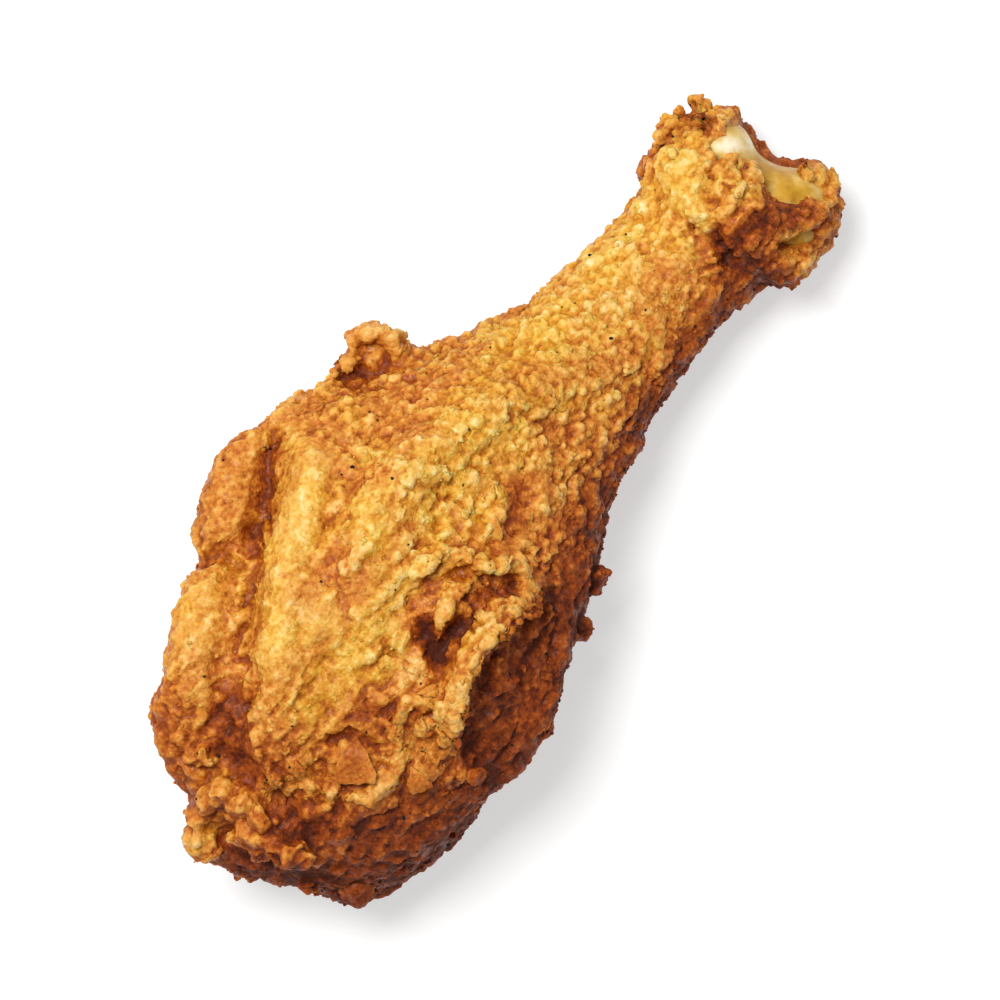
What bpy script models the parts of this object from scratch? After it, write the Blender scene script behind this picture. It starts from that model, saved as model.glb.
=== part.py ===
"""A fried chicken drumstick lying on its side.

Two solids: the coated meat, from the fat end to the crust's rim, and the bone's knuckle, which shows at the thin end.
Metres, +Z up. +X runs from the fat end to the knuckle. The origin is under the middle of the whole, on the surface it
lies on. Positions along the drumstick are measured from its fat end until the last step moves the middle to the origin.
"""

import math

import bmesh
import bpy
from mathutils import Matrix, Vector
from mathutils.bvhtree import BVHTree

MM = 0.001

# Driving dimensions.
LENGTH = 120 * MM  # fat end to knuckle
BELLY_WIDTH = 52 * MM  # the core at its widest, without the rolls laid on it
BELLY_HEIGHT = 42 * MM
SHANK_WIDTH = 20 * MM
KNOB_WIDTH = 25 * MM

# Surface finish of the solids: the grid that melts the lumps together, the smoothing after it, and the share of
# the triangles that is kept, which leaves long ones along the rolls and small ones in the creases.
MEAT_GRID = 1.5 * MM
KNUCKLE_GRID = 1.2 * MM
MEAT_KEPT = 0.34
KNUCKLE_KEPT = 0.40
SOCKET_GAP = 0.35 * MM  # clearance between the knuckle and its socket
REST_TRIM = 1.4 * MM  # how much of the round underside is pressed flat where it lies
FLOOR_BLOCK = 0.2  # side of the block that trims the resting faces

RING_CORNERS = 12
BALL_STEP = 0.3  # distance between the balls of a roll, as a share of their radius

# Sections of the core: share of the length, width, height, shift towards +Y, height of the centre.
CORE_SECTIONS = (
    (0.010, 5 * MM, 8 * MM, -4.5 * MM, 17.0 * MM),
    (0.055, 0.42 * BELLY_WIDTH, 0.54 * BELLY_HEIGHT, -5.2 * MM, 18.0 * MM),
    (0.150, 0.82 * BELLY_WIDTH, 0.86 * BELLY_HEIGHT, -3.3 * MM, 20.0 * MM),
    (0.270, 0.97 * BELLY_WIDTH, BELLY_HEIGHT, -1.0 * MM, 21.0 * MM),
    (0.390, BELLY_WIDTH, BELLY_HEIGHT, 0.8 * MM, 20.8 * MM),
    (0.500, 0.87 * BELLY_WIDTH, 0.88 * BELLY_HEIGHT, 1.6 * MM, 19.6 * MM),
    (0.590, 0.67 * BELLY_WIDTH, 0.70 * BELLY_HEIGHT, 1.7 * MM, 17.4 * MM),
    (0.675, 1.18 * SHANK_WIDTH, 1.20 * SHANK_WIDTH, -1.3 * MM, 14.6 * MM),
    (0.780, 1.04 * SHANK_WIDTH, SHANK_WIDTH, -2.2 * MM, 12.4 * MM),
    (0.870, 1.08 * SHANK_WIDTH, SHANK_WIDTH, -3.2 * MM, 11.2 * MM),
    (0.920, 1.06 * KNOB_WIDTH, 0.88 * KNOB_WIDTH, -3.3 * MM, 10.8 * MM),
    (0.952, 0.94 * KNOB_WIDTH, 0.82 * KNOB_WIDTH, -4.3 * MM, 10.8 * MM),
    (0.972, 0.62 * KNOB_WIDTH, 0.55 * KNOB_WIDTH, -4.4 * MM, 10.8 * MM),
)

TOP, LEFT, RIGHT = Vector((0, 0, 1)), Vector((0, 1, 0)), Vector((0, -1, 0))
BELOW = Vector((0, 0, -1))

# Rolls of meat and skin laid on the core: the side they are laid from, how deep they sink in, and their path.
# A path point is the distance from the fat end, the place across (Y on top and below, Z on the sides) and the radius.
ROLLS = {
    "upper_flank": (TOP, 0.0, ((58, 22.4, 3.6), (51, 23.2, 4.8), (43, 23.8, 6.0), (37, 22.2, 5.4))),
    "lower_flank": (TOP, 0.4, ((30, 18.4, 5.0), (24, 15.6, 6.0), (17, 11.0, 6.0), (11, 6.0, 4.6))),
    "pale_band": (TOP, 2.4, ((60, 18.0, 3.4), (51, 17.2, 4.6), (43, 13.6, 5.2), (36, 9.2, 5.6), (27, 4.4, 5.6),
                             (19, 0.6, 5.0))),
    "crown_roll": (TOP, 2.8, ((78, 0.6, 4.4), (68, 4.4, 5.4), (60, 7.0, 6.0), (52, 6.8, 6.0), (45, 4.2, 5.4),
                              (38, 0.6, 4.6))),
    "torn_ridge": (TOP, 0.4, ((57, -14.4, 1.8), (50, -12.4, 2.6), (44, -12.6, 3.0), (39, -14.6, 2.8),
                              (34.5, -17.4, 2.0))),
    "cross_ridge": (TOP, 0.7, ((48, 0.4, 1.8), (52, -3.6, 2.2), (56.5, -9.6, 1.9))),
    "short_ridge": (TOP, 0.7, ((43, -5.2, 1.7), (48, -7.4, 2.1), (52.4, -8.4, 1.8))),
    "butt_corner": (RIGHT, 6.0, ((14, 15, 8.0), (19, 14, 9.0), (26, 14, 9.0))),
    "side_roll": (RIGHT, 3.4, ((64, 13.5, 4.2), (54, 12.5, 5.4), (44, 11.5, 6.2), (34, 12.5, 6.0), (25, 16.0, 5.0))),
    "side_fold": (RIGHT, 2.6, ((60, 24.0, 3.2), (50, 26.0, 4.4), (41, 25.0, 4.8), (33, 24.0, 4.0))),
    "back_roll": (LEFT, 3.0, ((66, 13.0, 4.2), (56, 12.5, 5.4), (46, 12.0, 6.0), (34, 12.5, 6.0), (22, 14.0, 5.2))),
    "heel_cord": (BELOW, 2.6, ((100, -2.6, 4.0), (88, -2.0, 4.4), (76, -0.6, 4.8), (64, 1.0, 5.4))),
    "knob_collar": (TOP, 2.4, ((108.0, -13.0, 3.4), (108.4, -8.6, 4.0), (109.0, -3.6, 4.2), (110.4, 1.6, 4.0))),
}

# Knots of batter that stand on the surface: where they are seen from above, and their radius.
BATTER_KNOTS = (
    (4.6, 0.4, 4.3),
    (8.6, 4.4, 3.0),
    (10.6, 0.6, 3.4),
    (11.2, -4.2, 3.1),
    (10.6, -8.4, 3.3),
    (23.4, -8.6, 2.4),
    (29.0, -16.6, 2.2),
)

# A tongue of skin that fried into a hook on the +Y side: distance from the fat end, Y, Z and radius.
SKIN_HOOK = (
    (67.4, 12.6, 20.0, 3.4),
    (68.6, 17.6, 21.0, 2.7),
    (68.0, 21.4, 22.0, 2.4),
    (66.0, 24.2, 22.6, 2.1),
    (63.6, 24.4, 22.8, 1.7),
)

# The bone's end: two condyles with a groove between them, on a stub that is held in the meat.
CONDYLES = (
    # distance from the fat end, Y, Z, and the half sizes along X, Y and Z
    ((112.8, 2.0, 12.0), (6.4, 5.6, 8.0)),
    ((113.6, -10.0, 11.0), (6.6, 5.8, 8.0)),
    ((111.4, -4.2, 11.4), (6.4, 6.0, 7.0)),
)
STUB = ((112.0, -4.2, 11.4, 5.2), (98.0, -3.2, 11.8, 4.4))  # X, Y, Z and radius at each end

CRUST_COLOUR = (0.62, 0.27, 0.06)
CARTILAGE_COLOUR = (0.80, 0.64, 0.33)


def clear_scene():
    """Starts from an empty scene."""
    for item in list(bpy.data.objects):
        bpy.data.objects.remove(item, do_unlink=True)


def make_material(name, colour, roughness):
    """A plain Principled material of one colour."""
    material = bpy.data.materials.new(name)
    material.use_nodes = True
    shader = material.node_tree.nodes["Principled BSDF"]
    shader.inputs["Base Color"].default_value = (*colour, 1)
    shader.inputs["Roughness"].default_value = roughness
    shader.inputs["Metallic"].default_value = 0
    return material


def add_object(name, shape, parent, material=None):
    """A named object around a bmesh, hung on the parent."""
    mesh = bpy.data.meshes.new(name)
    shape.to_mesh(mesh)
    shape.free()
    item = bpy.data.objects.new(name, mesh)
    bpy.context.scene.collection.objects.link(item)
    item.parent = parent
    if material:
        mesh.materials.append(material)
    return item


def loft_core():
    """The core as rings skinned from end to end, with a point at each end and smoothed by subdivision."""
    shape = bmesh.new()
    rings = []
    for share, width, height, shift, lift in CORE_SECTIONS:
        ring = []
        for corner in range(RING_CORNERS):
            turn = math.tau * corner / RING_CORNERS
            place = (share * LENGTH, shift + width / 2 * math.sin(turn), lift + height / 2 * math.cos(turn))
            ring.append(shape.verts.new(place))
        rings.append(ring)
    for ring, after in zip(rings, rings[1:]):
        for corner in range(RING_CORNERS):
            beside = (corner + 1) % RING_CORNERS
            shape.faces.new((ring[corner], ring[beside], after[beside], after[corner]))
    shape.faces.new(rings[0])
    shape.faces.new(rings[-1])
    bmesh.ops.recalc_face_normals(shape, faces=shape.faces)
    return shape


def evaluated_mesh(item):
    """A new mesh of the object with its modifiers on."""
    graph = bpy.context.evaluated_depsgraph_get()
    return bpy.data.meshes.new_from_object(item.evaluated_get(graph))


def smooth_core():
    """The core after subdivision, as a mesh, and a tree that finds places on it."""
    item = add_object("core", loft_core(), None)
    rounding = item.modifiers.new("rounding", "SUBSURF")
    rounding.levels = rounding.render_levels = 3
    mesh = evaluated_mesh(item)
    bpy.data.objects.remove(item)
    shape = bmesh.new()
    shape.from_mesh(mesh)
    return shape, BVHTree.FromBMesh(shape)


def laid_on(tree, side, along, across, sink):
    """The place that a point seen from a side has on the core, sunk in by a depth."""
    place = Vector((along, 0, across)) if side.y else Vector((along, across, 0))
    hit = tree.ray_cast(place + side * LENGTH, -side)[0]
    if hit is None:
        raise ValueError(f"nothing of the core lies at {along / MM:.1f}, {across / MM:.1f} mm")
    return hit - side * sink


def add_ball(shape, centre, half_sizes):
    """A ball, or an ellipsoid, that overlaps what is there already."""
    sized = Matrix.Diagonal((*half_sizes, 1))
    bmesh.ops.create_icosphere(shape, subdivisions=3, radius=1, matrix=Matrix.Translation(centre) @ sized)


def add_roll(shape, path):
    """A roll as a string of overlapping balls along a smooth path of (place, radius)."""
    for number in range(len(path) - 1):
        before, start, end, after = (path[max(0, min(len(path) - 1, number + k))] for k in (-1, 0, 1, 2))
        span = (end[0] - start[0]).length
        steps = max(1, math.ceil(span / (BALL_STEP * min(start[1], end[1]))))
        for step in range(steps + (number == len(path) - 2)):
            t = step / steps
            # Catmull-Rom: passes through each point with the slope of its neighbours.
            place = 0.5 * (
                2 * start[0]
                + (end[0] - before[0]) * t
                + (2 * before[0] - 5 * start[0] + 4 * end[0] - after[0]) * t**2
                + (3 * start[0] - before[0] - 3 * end[0] + after[0]) * t**3
            )
            radius = start[1] + (end[1] - start[1]) * t
            add_ball(shape, place, (radius,) * 3)


def melt(item, grid, kept):
    """Melts overlapping shapes into one skin on a grid, smooths it and thins its triangles out."""
    weld = item.modifiers.new("weld", "REMESH")
    weld.mode = "VOXEL"
    weld.voxel_size = grid
    soften = item.modifiers.new("soften", "SMOOTH")
    soften.factor = 0.5
    soften.iterations = 2
    thin_out = item.modifiers.new("thin_out", "DECIMATE")
    thin_out.ratio = kept


def cut(item, cutter):
    """Takes the cutter's shape out of the item."""
    cutter.hide_render = True
    cutter.display_type = "WIRE"
    knife = item.modifiers.new(f"without_{cutter.name}", "BOOLEAN")
    knife.operation = "DIFFERENCE"
    knife.object = cutter


def build_meat(parent, material):
    """The coated meat before its socket and resting faces are cut."""
    shape, tree = smooth_core()
    for side, sink, path in ROLLS.values():
        add_roll(shape, [(laid_on(tree, side, x * MM, y * MM, sink * MM), r * MM) for x, y, r in path])
    for x, y, radius in BATTER_KNOTS:
        add_ball(shape, laid_on(tree, TOP, x * MM, y * MM, 0.2 * radius * MM), (radius * MM,) * 3)
    add_roll(shape, [(Vector((x, y, z)) * MM, r * MM) for x, y, z, r in SKIN_HOOK])
    meat = add_object("coated_meat", shape, parent, material)
    melt(meat, MEAT_GRID, MEAT_KEPT)
    return meat


def knuckle_shape(grown):
    """The bone's end, every part of it grown by a clearance."""
    shape = bmesh.new()
    for centre, half_sizes in CONDYLES:
        add_ball(shape, Vector(centre) * MM, [size * MM + grown for size in half_sizes])
    add_roll(shape, [(Vector((x, y, z)) * MM, r * MM + grown) for x, y, z, r in STUB])
    return shape


def build_knuckle(parent, material):
    """The knuckle, and the slightly larger cutter that makes its socket."""
    knuckle = add_object("knuckle", knuckle_shape(0), parent, material)
    socket = add_object("knuckle_socket", knuckle_shape(SOCKET_GAP), parent)
    for item in (knuckle, socket):
        melt(item, KNUCKLE_GRID, KNUCKLE_KEPT)
    return knuckle, socket


def floor_block(parent):
    """The block whose top is the surface that the drumstick lies on."""
    shape = bmesh.new()
    place = Matrix.Translation((LENGTH / 2, 0, REST_TRIM - FLOOR_BLOCK / 2))
    bmesh.ops.create_cube(shape, size=FLOOR_BLOCK, matrix=place)
    return add_object("floor_block", shape, parent)


def centre_on_origin(parent, items):
    """Moves the parent so that the origin is under the middle of the items' box."""
    bpy.context.view_layer.update()
    graph = bpy.context.evaluated_depsgraph_get()
    corners = [v.co for item in items for v in item.evaluated_get(graph).data.vertices]
    for axis in (0, 1):
        low = min(corner[axis] for corner in corners)
        high = max(corner[axis] for corner in corners)
        parent.location[axis] = -(low + high) / 2
    parent.location.z = -REST_TRIM


def main():
    clear_scene()
    frame = bpy.data.objects.new("drumstick", None)
    bpy.context.scene.collection.objects.link(frame)
    crust = make_material("fried_crust", CRUST_COLOUR, 0.6)
    cartilage = make_material("cartilage", CARTILAGE_COLOUR, 0.4)
    meat = build_meat(frame, crust)
    knuckle, socket = build_knuckle(frame, cartilage)
    floor = floor_block(frame)
    cut(meat, floor)
    cut(knuckle, floor)
    cut(meat, socket)
    for item in (meat, knuckle):
        item.data.shade_smooth()
    centre_on_origin(frame, (meat, knuckle))


main()
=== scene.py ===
# %% [markdown]
# # A fried chicken drumstick
# A drumstick that was dredged in seasoned flour and deep fried. What the eye sees is almost all coating: a
# craggy, golden shell that follows the folds of the skin, with paler smooth bands, torn ridges, thin crisp
# flakes, a dense cover of small grains on the shank, and specks of pepper. At the thin end the crust stops in
# patches and the bone's cartilage shows through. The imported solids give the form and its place. They stay as
# they are, and the pieces made here stand in for them.

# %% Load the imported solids
import math
import random
from functools import partial

import bmesh
import bpy
import numpy as np
from mathutils import Matrix, Vector
from mathutils.bvhtree import BVHTree
from mathutils.noise import noise_vector, seed_set


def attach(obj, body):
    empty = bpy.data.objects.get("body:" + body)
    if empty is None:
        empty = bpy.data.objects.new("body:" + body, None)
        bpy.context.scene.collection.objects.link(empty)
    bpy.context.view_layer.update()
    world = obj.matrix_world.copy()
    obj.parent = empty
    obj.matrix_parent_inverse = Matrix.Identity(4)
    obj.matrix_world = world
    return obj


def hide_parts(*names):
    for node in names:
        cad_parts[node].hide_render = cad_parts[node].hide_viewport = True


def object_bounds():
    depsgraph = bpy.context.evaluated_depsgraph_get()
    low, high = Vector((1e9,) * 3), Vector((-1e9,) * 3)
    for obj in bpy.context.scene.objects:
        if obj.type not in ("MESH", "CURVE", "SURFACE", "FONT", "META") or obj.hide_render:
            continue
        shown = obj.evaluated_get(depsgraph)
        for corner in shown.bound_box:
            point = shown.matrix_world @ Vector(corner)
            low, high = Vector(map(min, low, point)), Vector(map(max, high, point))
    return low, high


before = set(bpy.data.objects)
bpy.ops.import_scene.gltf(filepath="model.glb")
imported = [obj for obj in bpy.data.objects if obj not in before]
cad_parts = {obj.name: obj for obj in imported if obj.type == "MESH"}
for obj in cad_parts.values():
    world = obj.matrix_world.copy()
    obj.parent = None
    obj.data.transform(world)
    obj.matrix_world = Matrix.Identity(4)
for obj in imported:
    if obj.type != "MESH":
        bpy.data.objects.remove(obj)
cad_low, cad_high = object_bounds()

MM = 0.001
FLOOR_GAP = 0.02  # how far the flattened underside stays above the table, in mm
print("solids:", sorted(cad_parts), "box in mm:", [round(v / MM, 1) for v in cad_high - cad_low])

# %% [markdown]
# ## Small helpers
# Node trees, for shapes and for materials alike, are lists of nodes whose inputs are either numbers or other
# nodes. One function that adds a node, sets it up and links it keeps such a list readable. Colours are picked
# on a screen as hex values, which are sRGB, while the shader wants linear light, so one function turns them
# over.

# %% Helpers
def add_node(tree, kind, inputs=None, **settings):
    """Adds a node with its settings. Each input is a number, a vector, a socket, or a node's first output."""
    node = tree.nodes.new(kind)
    for name, value in settings.items():
        setattr(node, name, value)
    for key, value in (inputs or {}).items():
        socket = node.inputs[key]
        if isinstance(value, bpy.types.Node):
            value = next(out for out in value.outputs if out.enabled)
        if isinstance(value, bpy.types.NodeSocket):
            tree.links.new(value, socket)
        else:
            socket.default_value = value
    return node


def to_linear(colour):
    """A hex sRGB colour as linear red, green, blue and alpha."""
    parts = [int(colour[k : k + 2], 16) / 255 for k in (1, 3, 5)]
    return (*(v / 12.92 if v <= 0.04045 else ((v + 0.055) / 1.055) ** 2.4 for v in parts), 1)


def add_object(name, mesh):
    """A new object around a mesh, a lens or a lamp, at the origin."""
    item = bpy.data.objects.new(name, mesh)
    bpy.context.scene.collection.objects.link(item)
    return item


def as_mesh(shape, name):
    """Turns a bmesh into a mesh."""
    mesh = bpy.data.meshes.new(name)
    shape.to_mesh(mesh)
    shape.free()
    return mesh


def search_tree(mesh):
    """A tree that finds places on a mesh."""
    shape = bmesh.new()
    shape.from_mesh(mesh)
    tree = BVHTree.FromBMesh(shape)
    shape.free()
    return tree


def finished_mesh(item, name):
    """The item as its modifiers leave it, as a plain mesh. The item itself is removed."""
    graph = bpy.context.evaluated_depsgraph_get()
    mesh = bpy.data.meshes.new_from_object(item.evaluated_get(graph))
    mesh.name = name
    bpy.data.objects.remove(item, do_unlink=True)
    return mesh


def coordinates(mesh):
    """The mesh's points as rows of a table, in millimetres."""
    table = np.empty(len(mesh.vertices) * 3, np.float32)
    mesh.vertices.foreach_get("co", table)
    return table.reshape(-1, 3).astype(float) / MM


def lift_off_floor(mesh):
    """Raises what would go through the table, and returns the points in mm."""
    spots = coordinates(mesh)
    spots[:, 2] = np.maximum(spots[:, 2], FLOOR_GAP)
    mesh.vertices.foreach_set("co", np.ascontiguousarray(spots * MM, np.float32).ravel())
    return spots


def triangles(mesh):
    """How many triangles the mesh has once its faces are split."""
    return sum(len(face.vertices) - 2 for face in mesh.polygons)


def socket_id(tree, name):
    """The identifier of a tree's named input, which a modifier is set by."""
    return next(item.identifier for item in tree.interface.items_tree
                if item.name == name and item.in_out == "INPUT")


# %% [markdown]
# ## Where things lie
# Every feature of the coating is placed one by one as a cook would point at it: so many millimetres along
# from the fat end, and so many across from the middle, to the side with the hook of skin. One function turns
# such a place into the frame's own coordinates, so that nothing depends on where the solids' origin is.

# %% Places on the drumstick
def place(along, across, up=0.0):
    """A place in the frame's metres, given in millimetres from the fat end, the middle and the table."""
    return Vector((cad_low.x + along * MM, across * MM, up * MM))


def smooth_path(points, steps=8):
    """Points along a smooth curve through the given ones, as a Catmull-Rom spline."""
    points = [Vector(p) for p in points]
    made = []
    for number in range(len(points) - 1):
        before, start, end, after = (points[max(0, min(len(points) - 1, number + k))] for k in (-1, 0, 1, 2))
        for step in range(steps):
            t = step / steps
            made.append(0.5 * (2 * start + (end - before) * t
                               + (2 * before - 5 * start + 4 * end - after) * t**2
                               + (3 * start - before - 3 * end + after) * t**3))
    return made + [points[-1]]


# %% [markdown]
# ## The smooth form under the crust
# The solids are faceted and the knuckle is a piece of its own. The crust needs one smooth skin over both,
# because it was fried on in one go. Sculpting tools would melt them together by hand. Here a voxel remesh
# does it: it wraps the pieces in one skin of even squares, and a few rounds of smoothing take the facets out.

# %% Melt the solids into one smooth form
FORM_GRID = 0.7 * MM
FORM_SMOOTHING = 14
FORM_INSET = 0.95 * MM  # room for the crust between the form and the solids' surface


def welded_copy(*names):
    """The meshes of CAD nodes with their loose triangles joined, as one bmesh."""
    shape = bmesh.new()
    for name in names:
        shape.from_mesh(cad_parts[name].data)
    bmesh.ops.remove_doubles(shape, verts=shape.verts, dist=0.005 * MM)
    return shape


def melted(shape, name, grid, smoothing, inset=0.0):
    """A bmesh wrapped in one even skin, smoothed, and drawn in by the inset, as a mesh."""
    item = add_object(name, as_mesh(shape, name))
    wrap = item.modifiers.new("wrap", "REMESH")
    wrap.mode = "VOXEL"
    wrap.voxel_size = grid
    soften = item.modifiers.new("soften", "SMOOTH")
    soften.factor = 0.5
    soften.iterations = smoothing
    shrink = item.modifiers.new("shrink", "DISPLACE")
    shrink.mid_level = 0
    shrink.strength = -inset
    return finished_mesh(item, name)


form = melted(welded_copy("coated_meat", "knuckle"), "form", FORM_GRID, FORM_SMOOTHING, FORM_INSET)
print("smooth form:", len(form.vertices), "points")

# %% [markdown]
# ## A map of the coating
# The coating isn't the same everywhere. It is grainy on the shank, craggy along the torn ridges, smooth and
# pale on the bands where the skin was stretched, bare over parts of the knuckle, and darker deep in the folds,
# in hollows, on the side away from the lamp and low down, which is partly browning in the hot oil and partly
# painted shade. A painter would mask these by hand. Here each mask is a few soft strokes over the top, kept as
# an attribute on the skin, which both the relief and the colours then read.

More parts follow.
